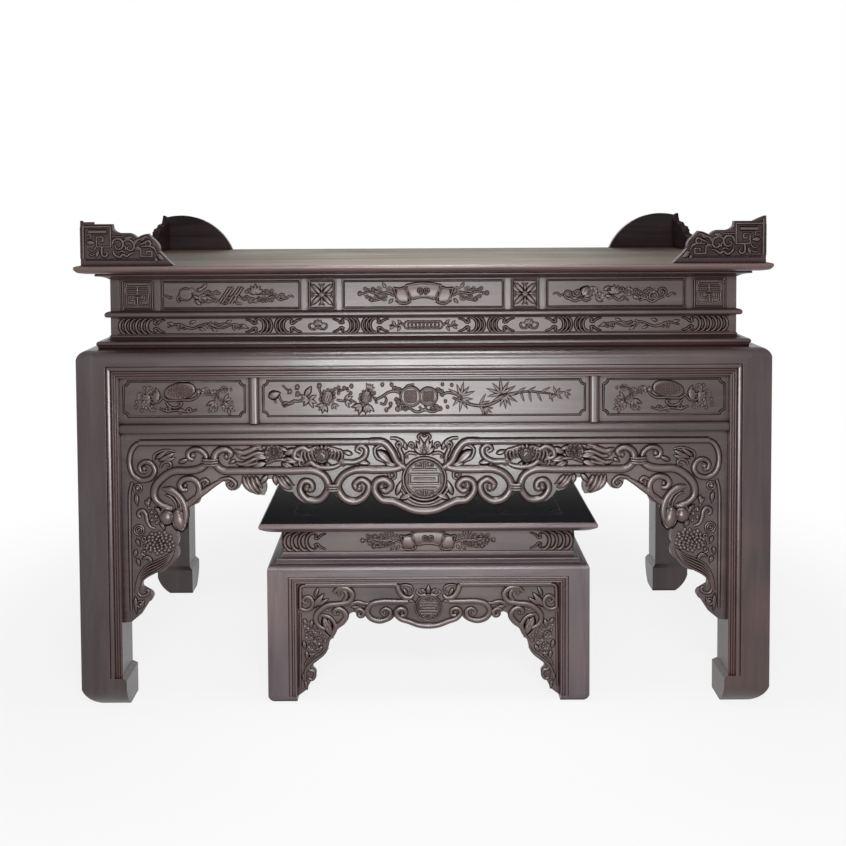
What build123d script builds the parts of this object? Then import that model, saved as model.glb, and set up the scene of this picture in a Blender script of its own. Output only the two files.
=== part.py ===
import os

from build123d import *

os.makedirs("parts", exist_ok=True)

# A carved altar table with a low offering table that stands beneath it.
# Millimetres; X is the width, the carved front faces -Y, Z is up, the floor is Z = 0.

# Overall sizes of the altar table
top_width = 1944
top_depth = 1044
top_height = 1255  # floor to the top surface

# Top board
top_edge = 24
top_nose_round = 5  # rounding of the edge's upper arris
top_tip = 7  # upright part of the edge, above its long sweep
top_knee = 16  # the nose turns into the sweep this far in from the tip
top_knee_drop = 20
top_nose_bulge = 3
top_sweep = 50  # how far the sweep runs in under the top
top_sweep_bulge = 1
top_rail_width = 130
top_panel_thickness = 16
tongue_length = 10
tongue_thickness = 7
tongue_drop = 5  # panel surface down to the tongue
batten_width = 60
batten_height = 32
batten_count = 3

# Setbacks, each measured from the tip of the top edge inward
leg_overhang = 2
waist_overhang = 80
ear_overhang = 17

# Heights of the tiers between the top and the legs
under_top_height = 18
upper_tier_height = 92
bead_rail_height = 16
frieze_height = 52
ledge_height = 35

# Waist pieces
waist_inside = 24  # how far the waist mouldings reach inside the waist plane
under_top_reach = 31
under_top_bead = 7
under_top_sink = 2.5
bead_rail_reach = 14
ledge_fillet = 5  # square fillet at the head of the ledge moulding
ledge_bead = 12
ledge_bead_drop = 14  # head of the ledge down to its bead
ledge_bead_reach = 24
ledge_foot_reach = 28
frieze_thickness = 14
post_width = 26
strut_width = 15
strut_depth = 20
tile_width = 101
flower_width = 84
centre_opening = 466  # between the struts of the middle panel
upper_panel_setback = 4
upper_panel_thickness = 12
side_groove = 4  # depth of the grooves in posts and struts

# Shoulder and legs
leg_size = 115
leg_flat = 81  # plain part of each face, outside the beads
shoulder_setback = 38  # top line of the shoulder behind the leg face
shoulder_round = 27  # radius of the rounded shoulder, inside of which its top is flat
shoulder_depth = 70
bead_width = 14
bead_depth = 5
reed_drop = 5  # crest of the reeds behind the leg face
reed_depth = 2.5
reed_count = 3
reed_slope = 0.28  # share of a reed's width in each sloping side
bead_side_share = 0.15  # share of a bead's width in each steep side
bead_turn_share = 0.3  # share of its depth at which the side turns over to the crest
foot_inset = 45
foot_rise = 58
foot_bulge = 7
hoof_height = 95
hoof_bulge = 12
hoof_slope = 12
bead_stop = 6  # the beads end this far above or below the hoof's top edge

# Lower tier
lower_tier_height = 131
panel_setback = 24
panel_thickness = 12
panel_groove = 6
muntin_width = 30
muntin_setback = 12
muntin_round = 11
centre_panel_width = 926  # between the muntins
lower_rail_height = 29
lower_rail_setback = 10
lower_rail_depth = 40
lower_rail_round = 12
tenon_length = 30
tenon_thickness = 16
tenon_shoulder = 7  # rail edge to tenon

# Aprons
apron_setback = 28
apron_thickness = 20
apron_band = 131  # height of the straight stretch
back_apron_height = 140

# Corner ears
ear_thickness = 23
front_ear_tips = {"left": (34, 123), "right": (6, 132)}  # width and height of the corner's tip
ear_tip_foot = (34, 117)
side_ear_height = 127

# Low offering table
low_top_width = 957
low_top_depth = 620
low_offset = 10  # it stands a little right of the middle
low_gap = 27  # its top below the lowest point of the altar table's apron
low_front_setback = 35  # its leg face behind the altar table's leg face
low_top_edge = 17
low_top_rail_width = 90
low_top_panel_thickness = 13
low_tongue_length = 8
low_tongue_thickness = 6
low_tongue_drop = 4
low_batten_width = 45
low_batten_height = 24
low_batten_count = 2
low_leg_overhang = 20
low_waist_overhang = 63
low_nose_chamfer = 5
low_nose_step = 6
low_cove_height = 21
low_cove_sink = 4
low_frieze_height = 60
low_ledge_height = 27
low_waist_inside = 20
low_ledge_fillet = 6
low_ledge_bead = 6
low_ledge_bead_drop = 15
low_ledge_bead_reach = 14
low_frieze_thickness = 12
low_leg_size = 82
low_leg_flat = 59
low_shoulder_setback = 20
low_shoulder_round = 12
low_shoulder_height = 53
low_shoulder_depth = 48
low_bead_width = 10
low_bead_depth = 4
low_reed_drop = 4
low_reed_depth = 2
low_reed_count = 2
low_foot_inset = 14
low_foot_rise = 20
low_foot_bulge = 2
low_bead_foot = 18  # foot of the beads above the floor
low_apron_setback = 22
low_apron_thickness = 16
low_apron_band = 86
low_back_apron_height = 90
low_tenon_length = 22
low_tenon_thickness = 12

# Scalloped edge of the altar table's apron, from the leg towards the middle. Each step is
# (distance from the leg, drop below the apron's top): a point to pass through, then a point to
# reach; no through point means straight.
bracket_start = (0, 541)
bracket_edge = [
    (None, (22, 539)),
    (None, (52, 514)),
    (None, (74, 480)),
    ((84, 466), (76, 453)),
    (None, (54, 440)),
    ((58, 414), (82, 397)),
    ((114, 393), (139, 368)),
    ((158, 347), (152, 322)),
    ((159, 298), (148, 277)),
    ((174, 265), (185, 234)),
    (None, (190, 210)),
    (None, (218, 198)),
    ((234, 170), (259, 153)),
    ((276, 140), (292, 138)),
]
# The small scroll and hanging leaf that end the bracket
bracket_leaf_edge = [
    ((318, 163), (338, 138)),
    (None, (347, 131)),
    ((372, 168), (403, 177)),
    ((409, 154), (400, 131)),
]
# From the straight stretch to the middle: (distance from the middle, drop)
scroll_start = (412, 131)
scroll_edge = [
    ((394, 164), (372, 168)),
    ((320, 203), (258, 162)),
    ((194, 203), (152, 171)),
]
drop_start = (152, 171)
drop_edge = [
    ((116, 198), (84, 197)),
    ((46, 222), (0, 231)),
]
end_drop_start = (150, 138)
lowest_drop = drop_edge[-1][-1][-1]

# The same edges on the low table
low_bracket_start = (0, 334)
low_bracket_edge = [
    (None, (24, 316)),
    (None, (44, 280)),
    ((54, 266), (46, 255)),
    (None, (43, 240)),
    (None, (70, 221)),
    (None, (88, 197)),
    (None, (95, 166)),
    ((112, 139), (154, 92)),
    (None, (171, 86)),
]
low_leaf_edge = [
    ((182, 108), (194, 86)),
]
low_scroll_start = (178, 86)
low_scroll_edge = [
    ((133, 121), (93, 97)),
]
low_drop_start = (93, 97)
low_drop_edge = [
    ((48, 122), (0, 135)),
]

# Stepped edge of a carved ear: (distance from the corner, height), after the tip set apart above
carved_ear_edge = [
    (None, (88, 117)),
    (None, (90, 104)),
    ((97, 97), (108, 92)),
    (None, (130, 92)),
    ((146, 88), (157, 78)),
    ((171, 86), (188, 90)),
    (None, (196, 82)),
    (None, (208, 70)),
    ((217, 58), (220, 41)),
    (None, (236, 23)),
    (None, (260, 0)),
]
# Side boards, which run back from the front corners and forward from the back corners
side_ear_edge = [
    (None, (6, 127)),
    (None, (16, 110)),
    ((27, 100), (44, 98)),
    (None, (60, 94)),
    ((81, 95), (96, 87)),
    (None, (128, 81)),
    ((156, 76), (168, 62)),
    (None, (196, 54)),
    ((224, 42), (236, 22)),
    (None, (256, 0)),
]
# Plain back boards, domed
back_ear_edge = [
    (None, (6, 127)),
    (None, (18, 121)),
    ((62, 127), (110, 122)),
    ((194, 84), (258, 0)),
]

# Planes and levels worked out from the sizes above
half_width = top_width / 2
half_depth = top_depth / 2
leg_x = half_width - leg_overhang
leg_y = half_depth - leg_overhang
waist_x = half_width - waist_overhang
waist_y = half_depth - waist_overhang
ear_x = half_width - ear_overhang
ear_y = half_depth - ear_overhang
opening_x = leg_x - leg_size
opening_y = leg_y - leg_size

z_top = top_height
z_under_top = z_top - top_edge
z_upper_top = z_under_top - under_top_height
z_upper_foot = z_upper_top - upper_tier_height
z_bead_foot = z_upper_foot - bead_rail_height
z_frieze_foot = z_bead_foot - frieze_height
z_shoulder = z_frieze_foot - ledge_height
shoulder_height = leg_size - shoulder_setback  # makes the shoulder's mitre run at 45 degrees
z_tier_top = z_shoulder - shoulder_height
z_tier_foot = z_tier_top - lower_tier_height
z_apron = z_tier_foot - lower_rail_height

low_z_top = z_apron - lowest_drop - low_gap
low_half_width = low_top_width / 2
low_half_depth = low_top_depth / 2
low_leg_x = low_half_width - low_leg_overhang
low_leg_y = low_half_depth - low_leg_overhang
low_waist_x = low_half_width - low_waist_overhang
low_waist_y = low_half_depth - low_waist_overhang
low_centre = (low_offset, low_front_setback + low_leg_y - leg_y)
low_opening_x = low_leg_x - low_leg_size
low_opening_y = low_leg_y - low_leg_size
low_z_edge = low_z_top - low_top_edge
low_z_cove = low_z_edge - low_cove_height
low_z_frieze = low_z_cove - low_frieze_height
low_z_shoulder = low_z_frieze - low_ledge_height
low_z_apron = low_z_shoulder - low_shoulder_height

outward = {"front": (0, -1), "back": (0, 1), "left": (-1, 0), "right": (1, 0)}
corners = {"front_left": (-1, -1), "front_right": (1, -1), "back_left": (-1, 1), "back_right": (1, 1)}


def save(part, name):
    part.label = name
    export_step(part, f"parts/{name}.step")


def save_group(pieces, name):
    save(Compound(children=list(pieces)), name)


# The upright plane of one side whose x runs outward and y runs up, for a section
def section_plane(side, half_x, half_y, centre=(0, 0)):
    out = Vector(*outward[side])
    origin = Vector(*centre) + Vector(out.X * half_x, out.Y * half_y)
    return Plane(origin=origin, x_dir=out, z_dir=out.cross(Vector(0, 0, 1)))


# The plane of one side's face, whose x runs along the side and y runs up
def face_plane(side, half_x, half_y, centre=(0, 0)):
    out = Vector(*outward[side])
    origin = Vector(*centre) + Vector(out.X * half_x, out.Y * half_y)
    return Plane(origin=origin, x_dir=Vector(0, 0, 1).cross(out), z_dir=out)


# A rectangle between two corners, in the active sketch
def rectangle_between(low, high, mode=Mode.ADD):
    with Locations(((low[0] + high[0]) / 2, (low[1] + high[1]) / 2)):
        Rectangle(abs(high[0] - low[0]), abs(high[1] - low[1]), mode=mode)


# One bar of a mitred frame: the section is drawn from the frame's outer plane, then cut at both mitres
def mitred_bar(section, side, half_x, half_y, centre=(0, 0)):
    out = Vector(*outward[side])
    along = Vector(0, 0, 1).cross(out)
    middle = Vector(*centre) + Vector(out.X * half_x, out.Y * half_y)
    reach = Vector(along.X * half_x, along.Y * half_y)
    with BuildPart() as bar:
        with BuildSketch(section_plane(side, half_x, half_y, centre)):
            add(section)
        extrude(amount=reach.length * 2, both=True)
        for end in (1, -1):
            mitre = Plane(origin=middle + reach * end, z_dir=along * end - out)
            split(bisect_by=mitre, keep=Keep.BOTTOM)
    return bar.part


def mitred_frame(section, half_x, half_y, centre=(0, 0)):
    return {side: mitred_bar(section, side, half_x, half_y, centre) for side in outward}


# A flat panel with a tongue all round, its top at the given height
def floating_panel(half_x, half_y, height, thickness, tongue, centre=(0, 0)):
    length, depth, drop = tongue
    with BuildPart() as panel:
        with BuildSketch(Plane.XY.offset(height - thickness)):
            with Locations(centre):
                Rectangle(2 * half_x, 2 * half_y)
        extrude(amount=thickness)
        with BuildSketch(Plane.XY.offset(height - drop - depth)):
            with Locations(centre):
                Rectangle(2 * (half_x + length), 2 * (half_y + length))
        extrude(amount=depth)
    return panel.part


# Altar table: top frame, its rails grooved for the panel
with BuildSketch() as top_rail_section:
    with BuildLine():
        top_lines = Polyline(
            (-top_sweep, z_under_top),
            (-top_rail_width, z_under_top),
            (-top_rail_width, z_top),
            (0, z_top),
            (0, z_top - top_tip),
        )
        nose = SagittaArc(top_lines @ 1, (-top_knee, z_top - top_knee_drop), top_nose_bulge)
        SagittaArc(nose @ 1, top_lines @ 0, top_sweep_bulge)
    make_face()
    fillet(vertices().group_by(Axis.X)[-1].sort_by(Axis.Y)[-1], top_nose_round)
    rectangle_between(
        (-top_rail_width, z_top - tongue_drop - tongue_thickness),
        (tongue_length - top_rail_width, z_top - tongue_drop),
        Mode.SUBTRACT,
    )
for side, rail in mitred_frame(top_rail_section.sketch, half_width, half_depth).items():
    save(rail, f"top_{side}_rail")

panel_x = half_width - top_rail_width
panel_y = half_depth - top_rail_width
top_tongue = (tongue_length, tongue_thickness, tongue_drop)
save(floating_panel(panel_x, panel_y, z_top, top_panel_thickness, top_tongue), "top_panel")

with BuildPart() as top_battens:
    with BuildSketch(Plane.XY.offset(z_top - top_panel_thickness)):
        with GridLocations(2 * panel_x / (batten_count + 1), 1, batten_count, 1):
            Rectangle(batten_width, 2 * panel_y)
    extrude(amount=-batten_height)
save(top_battens.part, "top_battens")

# Altar table: waist
# The moulding that carries the top is a cove that ends in a bead
with BuildSketch() as under_top_section:
    with BuildLine():
        back = Polyline(
            (under_top_reach, z_under_top),
            (-waist_inside, z_under_top),
            (-waist_inside, z_upper_top),
            (0, z_upper_top),
        )
        cove = SagittaArc(back @ 1, (under_top_reach, z_under_top - under_top_bead), under_top_sink)
        SagittaArc(cove @ 1, back @ 0, -under_top_bead / 2)
    make_face()
save_group(mitred_frame(under_top_section.sketch, waist_x, waist_y).values(), "under_top_moulding")

# Rail with a half-round face between the upper tier and the frieze
with BuildSketch() as bead_rail_section:
    with BuildLine():
        bead_back = Polyline(
            (bead_rail_reach - bead_rail_height / 2, z_upper_foot),
            (-waist_inside, z_upper_foot),
            (-waist_inside, z_bead_foot),
            (bead_rail_reach - bead_rail_height / 2, z_bead_foot),
        )
        SagittaArc(bead_back @ 1, bead_back @ 0, -bead_rail_height / 2)
    make_face()
save_group(mitred_frame(bead_rail_section.sketch, waist_x, waist_y).values(), "bead_rail")

with BuildSketch() as frieze_section:
    rectangle_between((-frieze_thickness, z_frieze_foot), (0, z_bead_foot))
friezes = mitred_frame(frieze_section.sketch, waist_x, waist_y)
save(friezes["front"], "front_frieze")
save(friezes["back"], "back_frieze")
save_group([friezes["left"], friezes["right"]], "end_friezes")


# Ledge: a square fillet at the head, a cove, a bead, then a slope down to the shoulder
def ledge_section(head, foot, inside, fillet_height, bead_drop, bead_reach, bead, reach):
    with BuildSketch() as section:
        with BuildLine():
            back_line = Polyline(
                (reach, foot),
                (-inside, foot),
                (-inside, head),
                (fillet_height / 2, head),
                (fillet_height / 2, head - fillet_height),
                (0, head - fillet_height),
            )
            cove = SagittaArc(back_line @ 1, (bead_reach, head - bead_drop), -fillet_height / 2)
            bead_foot = (bead_reach + bead / 2, head - bead_drop - bead)
            lower_bead = SagittaArc(cove @ 1, bead_foot, bead / 2)
            Line(lower_bead @ 1, back_line @ 0)
        make_face()
    return section.sketch


ledge = ledge_section(
    z_frieze_foot,
    z_shoulder,
    waist_inside,
    ledge_fillet,
    ledge_bead_drop,
    ledge_bead_reach,
    ledge_bead,
    ledge_foot_reach,
)
save_group(mitred_frame(ledge, waist_x, waist_y).values(), "ledge_moulding")

# Posts, struts and panels of the upper tier; the boards stand in grooves
upper_front_y = waist_y - upper_panel_setback
flower_x = centre_opening / 2 + strut_width + flower_width / 2
tile_x = waist_x - post_width - tile_width / 2
long_low = centre_opening / 2 + 2 * strut_width + flower_width
long_high = waist_x - post_width - tile_width - strut_width
long_x = (long_low + long_high) / 2
long_width = long_high - long_low
upper_bays = {
    "upper_centre_panel": [(0, centre_opening)],
    "upper_left_panel": [(-long_x, long_width)],
    "upper_right_panel": [(long_x, long_width)],
    "upper_flower_tiles": [(-flower_x, flower_width), (flower_x, flower_width)],
    "upper_corner_tiles": [(-tile_x, tile_width), (tile_x, tile_width)],
}
strut_places = [
    centre_opening / 2 + strut_width / 2,
    flower_x + flower_width / 2 + strut_width / 2,
    long_high + strut_width / 2,
]


# An upright board on a side's face plane, from one corner to the other
def board(plane, low, high, thickness):
    with BuildPart() as piece:
        with BuildSketch(plane):
            rectangle_between(low, high)
        extrude(amount=-thickness)
    return piece.part


upper_front = face_plane("front", waist_x, upper_front_y)
for name, bays in upper_bays.items():
    boards = []
    for middle, width in bays:
        low = (middle - width / 2 - side_groove, z_upper_foot)
        high = (middle + width / 2 + side_groove, z_upper_top)
        boards.append(board(upper_front, low, high, upper_panel_thickness))
    save_group(boards, name)

reach_x = waist_x - post_width + side_groove
reach_y = waist_y - post_width + side_groove
for side, half_run in (("back", reach_x), ("left", reach_y), ("right", reach_y)):
    plane = face_plane(side, waist_x - upper_panel_setback, upper_front_y)
    name = "upper_back_panel" if side == "back" else f"upper_{side}_end_panel"
    save(board(plane, (-half_run, z_upper_foot), (half_run, z_upper_top), upper_panel_thickness), name)

with BuildPart() as upper_posts:
    with BuildSketch(Plane.XY.offset(z_upper_foot)):
        with GridLocations(2 * waist_x - post_width, 2 * waist_y - post_width, 2, 2):
            Rectangle(post_width, post_width)
        middle_y = upper_front_y - upper_panel_thickness / 2
        with GridLocations(1, 2 * middle_y, 1, 2):
            Rectangle(2 * reach_x, upper_panel_thickness, mode=Mode.SUBTRACT)
        middle_x = waist_x - upper_panel_setback - upper_panel_thickness / 2
        with GridLocations(2 * middle_x, 1, 2, 1):
            Rectangle(upper_panel_thickness, 2 * reach_y, mode=Mode.SUBTRACT)
    extrude(amount=upper_tier_height)
save(upper_posts.part, "upper_posts")

strut_y = strut_depth / 2 - waist_y
with BuildPart() as upper_struts:
    with BuildSketch(Plane.XY.offset(z_upper_foot)):
        with Locations(*[(sign * x, strut_y) for x in strut_places for sign in (-1, 1)]):
            Rectangle(strut_width, strut_depth)
        for bays in upper_bays.values():
            for middle, width in bays:
                with Locations((middle, -middle_y)):
                    Rectangle(width + 2 * side_groove, upper_panel_thickness, mode=Mode.SUBTRACT)
    extrude(amount=upper_tier_height)
save(upper_struts.part, "upper_struts")


# Shoulder rails and legs, for both tables
# What is cut from a face beside an opening to leave a bead and some reeds, each reed a flat crest
# between two slopes. place maps (distance from the opening, depth behind the face) to the sketch;
# stretch widens the pattern.
def bead_cut(place, moulding, beads, stretch=1.0):
    bead, bead_depth, reed_drop, reed_depth, reeds = beads
    reed = (moulding - bead) / reeds * stretch
    edge = moulding * stretch
    bead_start = reeds * reed
    reed_foot = reed_drop + reed_depth
    outline = [place(0, reed_foot)]
    for step in range(reeds):
        outline.append(place((step + reed_slope) * reed, reed_drop))
        outline.append(place((step + 1 - reed_slope) * reed, reed_drop))
        outline.append(place((step + 1) * reed, reed_foot))
    side = bead * stretch * bead_side_share
    turn = bead_depth * bead_turn_share
    outline.append(place(bead_start, bead_depth))
    outline.append(place(bead_start + side, turn))
    outline.append(place((bead_start + edge) / 2, 0))
    outline.append(place(edge - side, turn))
    outline.append(place(edge, bead_depth))
    outline.append(place(edge, -bead))
    outline.append(place(0, -bead))
    with BuildSketch() as cut:
        with BuildLine():
            Polyline(*outline, close=True)
        make_face()
    return cut.sketch


quarter_bulge = 1 - 0.5**0.5  # height of a quarter circle over its chord, for a radius of 1


# Section of a shoulder rail, from the leg face inward and from its foot up
def shoulder_section(head, foot, depth, roundness, cut):
    with BuildSketch() as section:
        with BuildLine():
            lines = Polyline(
                (0, head - roundness),
                (0, foot),
                (-depth, foot),
                (-depth, head),
                (-roundness, head),
            )
            SagittaArc(lines @ 1, lines @ 0, roundness * quarter_bulge)
        make_face()
        add(cut, mode=Mode.SUBTRACT)
    return section.sketch


# A shoulder rail: its face runs out to the mitre with the leg, its back stops at the leg's post
# and goes into it as a tenon
def shoulder_rail(section, side, half_x, half_y, leg, setback, depth, foot, head, tenon, centre=(0, 0)):
    out = Vector(*outward[side])
    along = Vector(0, 0, 1).cross(out)
    half_run = abs(along.X) * half_x + abs(along.Y) * half_y
    length, thickness, shoulder = tenon
    middle = Vector(*centre) + Vector(out.X * half_x, out.Y * half_y)
    rise = (head - foot) / (leg - setback)
    with BuildPart() as rail:
        with BuildSketch(section_plane(side, half_x, half_y, centre)):
            add(section)
        extrude(amount=half_run, both=True)
        for end in (1, -1):
            corner = middle + along * end * (half_run - leg) + Vector(0, 0, foot)
            mitre = Plane(origin=corner, z_dir=along * end * rise - Vector(0, 0, 1))
            split(bisect_by=mitre, keep=Keep.BOTTOM)
        with BuildSketch(Plane.XY.offset(foot)):
            for end in (1, -1):
                post = middle + along * end * (half_run - leg / 2) - out * (setback + depth / 2)
                size = (leg, depth) if side in ("front", "back") else (depth, leg)
                with Locations((post.X, post.Y)):
                    Rectangle(*size)
        extrude(amount=head - foot, mode=Mode.SUBTRACT)
        tenon_depth = (setback + depth) / 2
        with BuildSketch(section_plane(side, half_x, half_y, centre)):
            low = (-tenon_depth - thickness / 2, foot + shoulder)
            rectangle_between(low, (-tenon_depth + thickness / 2, head - shoulder))
        extrude(amount=half_run - leg + length, both=True)
    return rail.part


# A leg whose outer corner stands on the Z axis, the leg reaching towards -X and -Y
def make_leg(size, flat, shoulder, mitre, beads, bead_foot, toe, hoof, sockets):
    setback, roundness = shoulder
    mitre_foot, head = mitre
    inset, rise, toe_bulge = toe
    hoof_top, hoof_reach, slope = hoof
    with BuildSketch() as silhouette:
        with BuildLine():
            inner = [(-size, mitre_foot)]
            if hoof_reach:
                inner.append((-size, hoof_top))
                inner.append((-size - hoof_reach, hoof_top - slope))
            inner.append((-size - hoof_reach, 0))
            inner.append((-inset, 0))
            inner_line = Polyline(*inner)
            toe_curve = SagittaArc(inner_line @ 1, (0, rise), -toe_bulge)
            side_line = Line(toe_curve @ 1, (0, head - roundness))
            round_top = SagittaArc(side_line @ 1, (-roundness, head), -roundness * quarter_bulge)
            Polyline(round_top @ 1, (-setback, head), inner_line @ 0)
        make_face()
    reach = size + hoof_reach
    with BuildPart() as leg:
        with BuildSketch(Plane.XZ):
            add(silhouette.sketch)
        extrude(amount=reach)
        with BuildSketch(Plane.YZ):
            add(silhouette.sketch)
        extrude(amount=-reach, mode=Mode.INTERSECT)
        with BuildSketch(Plane.XY.offset(mitre_foot)):
            rectangle_between((-size, -size), (-setback, -setback))
        extrude(amount=head - mitre_foot)
        with BuildSketch(Plane.XY.offset(bead_foot)):
            add(bead_cut(lambda u, d: (u - size, -d), size - flat, beads))
            add(bead_cut(lambda u, d: (-d, u - size), size - flat, beads))
        extrude(amount=head - bead_foot, mode=Mode.SUBTRACT)
        for low, high, length, near, far in sockets:
            with BuildSketch(Plane.XY.offset(low)):
                rectangle_between((-size, -far), (length - size, -near))
                rectangle_between((-far, -size), (-near, length - size))
            extrude(amount=high - low, mode=Mode.SUBTRACT)
    return leg.part


# Four legs at the corners of a rectangle; leg is the one whose outer corner points to +X +Y
def place_leg(leg, sign_x, sign_y, half_x, half_y, centre=(0, 0)):
    placed = leg
    if sign_x < 0:
        placed = placed.mirror(Plane.YZ)
    if sign_y < 0:
        placed = placed.mirror(Plane.XZ)
    return Pos(centre[0] + sign_x * half_x, centre[1] + sign_y * half_y, 0) * placed


shoulder_tenon = (tenon_length, tenon_thickness, tenon_shoulder)
beads = (bead_width, bead_depth, reed_drop, reed_depth, reed_count)
shoulder_cut = bead_cut(lambda u, d: (-d, z_tier_top + u), leg_size - leg_flat, beads)
shoulder = shoulder_section(
    z_shoulder,
    z_tier_top,
    shoulder_depth,
    shoulder_round,
    shoulder_cut,
)
# The lower tier's boards stand in a groove in the rails and the legs
with BuildSketch() as tier_groove:
    rectangle_between(
        (-panel_setback - panel_thickness, z_tier_foot - panel_groove),
        (-panel_setback, z_tier_top + panel_groove),
    )
with BuildSketch() as grooved_shoulder:
    add(shoulder)
    add(tier_groove.sketch, mode=Mode.SUBTRACT)
for side in outward:
    rail = shoulder_rail(
        grooved_shoulder.sketch,
        side,
        leg_x,
        leg_y,
        leg_size,
        shoulder_setback,
        shoulder_depth,
        z_tier_top,
        z_shoulder,
        shoulder_tenon,
    )
    save(rail, f"{side}_shoulder_rail")

shoulder_tenon_middle = (shoulder_setback + shoulder_depth) / 2
lower_tenon_middle = lower_rail_setback + lower_rail_depth / 2
leg_sockets = [
    (
        z_tier_top + tenon_shoulder,
        z_shoulder - tenon_shoulder,
        tenon_length,
        shoulder_tenon_middle - tenon_thickness / 2,
        shoulder_tenon_middle + tenon_thickness / 2,
    ),
    (
        z_apron + tenon_shoulder,
        z_tier_foot - tenon_shoulder,
        tenon_length,
        lower_tenon_middle - tenon_thickness / 2,
        lower_tenon_middle + tenon_thickness / 2,
    ),
    (
        z_tier_foot - panel_groove,
        z_tier_top + panel_groove,
        panel_groove,
        panel_setback,
        panel_setback + panel_thickness,
    ),
]
leg = make_leg(
    leg_size,
    leg_flat,
    (shoulder_setback, shoulder_round),
    (z_tier_top, z_shoulder),
    beads,
    hoof_height - bead_stop,
    (foot_inset, foot_rise, foot_bulge),
    (hoof_height, hoof_bulge, hoof_slope),
    leg_sockets,
)
for name, (sign_x, sign_y) in corners.items():
    save(place_leg(leg, sign_x, sign_y, leg_x, leg_y), f"{name}_leg")

# Altar table: lower tier
# Rails with rounded faces under the tier, tenoned into the legs
with BuildSketch() as lower_rail_section:
    rectangle_between(
        (-lower_rail_setback - lower_rail_depth, z_apron),
        (-lower_rail_setback, z_tier_foot),
    )
    fillet(vertices().group_by(Axis.X)[-1], lower_rail_round)
    add(tier_groove.sketch, mode=Mode.SUBTRACT)
with BuildSketch() as lower_tenon_section:
    rectangle_between(
        (-lower_tenon_middle - tenon_thickness / 2, z_apron + tenon_shoulder),
        (-lower_tenon_middle + tenon_thickness / 2, z_tier_foot - tenon_shoulder),
    )
lower_rails = []
opening_runs = {"front": opening_x, "back": opening_x, "left": opening_y, "right": opening_y}
for side, half_run in opening_runs.items():
    with BuildPart() as lower_rail:
        with BuildSketch(section_plane(side, leg_x, leg_y)):
            add(lower_rail_section)
        extrude(amount=half_run, both=True)
        with BuildSketch(section_plane(side, leg_x, leg_y)):
            add(lower_tenon_section)
        extrude(amount=half_run + tenon_length, both=True)
    lower_rails.append(lower_rail.part)
save_group(lower_rails, "lower_rails")

# Muntins and panels in the grooves
muntin_x = (centre_panel_width + muntin_width) / 2
side_bay = opening_x - muntin_x - muntin_width / 2
side_bay_x = opening_x - side_bay / 2
panel_front = face_plane("front", leg_x, leg_y - panel_setback)
with BuildPart() as muntins:
    with BuildSketch(Plane.XY.offset(z_tier_foot)):
        with Locations(*[(sign * muntin_x, 0) for sign in (-1, 1)]):
            with Locations((0, muntin_setback - leg_y + lower_rail_depth / 2)):
                Rectangle(muntin_width, lower_rail_depth)
        fillet(vertices().group_by(Axis.Y)[0], muntin_round)
        with Locations((0, panel_setback - leg_y + panel_thickness / 2)):
            Rectangle(centre_panel_width + 2 * panel_groove, panel_thickness, mode=Mode.SUBTRACT)
            with Locations(*[(sign * side_bay_x, 0) for sign in (-1, 1)]):
                Rectangle(side_bay + 2 * panel_groove, panel_thickness, mode=Mode.SUBTRACT)
    extrude(amount=lower_tier_height)
    with BuildSketch(panel_front):
        with Locations(*[(sign * muntin_x, (z_tier_top + z_tier_foot) / 2) for sign in (-1, 1)]):
            Rectangle(muntin_width - 2 * panel_groove, lower_tier_height + 2 * panel_groove)
    extrude(amount=-panel_thickness)
save(muntins.part, "muntins")

tier_low = z_tier_foot - panel_groove
tier_high = z_tier_top + panel_groove
centre_reach = centre_panel_width / 2 + panel_groove
bay_low = muntin_x + muntin_width / 2 - panel_groove
bay_high = opening_x + panel_groove
end_reach = opening_y + panel_groove
tier_runs = {
    "lower_centre_panel": (-centre_reach, centre_reach),
    "lower_left_panel": (-bay_high, -bay_low),
    "lower_right_panel": (bay_low, bay_high),
}
for name, (start, stop) in tier_runs.items():
    save(board(panel_front, (start, tier_low), (stop, tier_high), panel_thickness), name)
for side, half_run in (("back", bay_high), ("left", end_reach), ("right", end_reach)):
    plane = face_plane(side, leg_x - panel_setback, leg_y - panel_setback)
    name = "lower_back_panel" if side == "back" else f"lower_{side}_end_panel"
    save(board(plane, (-half_run, tier_low), (half_run, tier_high), panel_thickness), name)


# Aprons, for both tables
# A face bounded by a scalloped edge: each step is (point to pass through, point to reach), measured
# from the anchor along the board and from the base up or down
def scalloped_face(anchor, direction, base, upward, start, steps):
    def place(point):
        return (anchor + direction * point[0], base + upward * point[1])

    with BuildSketch() as region:
        with BuildLine():
            Line((place(start)[0], base), place(start))
            here = place(start)
            for through, reach in steps:
                there = place(reach)
                if through is None:
                    Line(here, there)
                else:
                    ThreePointArc(here, place(through), there)
                here = there
            if here[1] != base:
                Line(here, (here[0], base))
            Line((here[0], base), (place(start)[0], base))
        make_face()
    return region.sketch


# An apron: a straight band with a scalloped bracket at each leg and a drop in the middle
def apron(plane, half_span, top, band, thickness, faces):
    with BuildPart() as piece:
        with BuildSketch(plane):
            rectangle_between((-half_span, top - band), (half_span, top))
            for face in faces:
                add(face)
                mirror(face, about=Plane.YZ)
        extrude(amount=-thickness)
    return piece.part


def apron_faces(half_span, top, bracket, leaf, scroll, drop):
    faces = [scalloped_face(-half_span, 1, top, -1, *bracket)]
    if leaf:
        faces.append(scalloped_face(-half_span, 1, top, -1, *leaf))
    if scroll:
        faces.append(scalloped_face(0, -1, top, -1, *scroll))
    faces.append(scalloped_face(0, -1, top, -1, *drop))
    return faces


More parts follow.
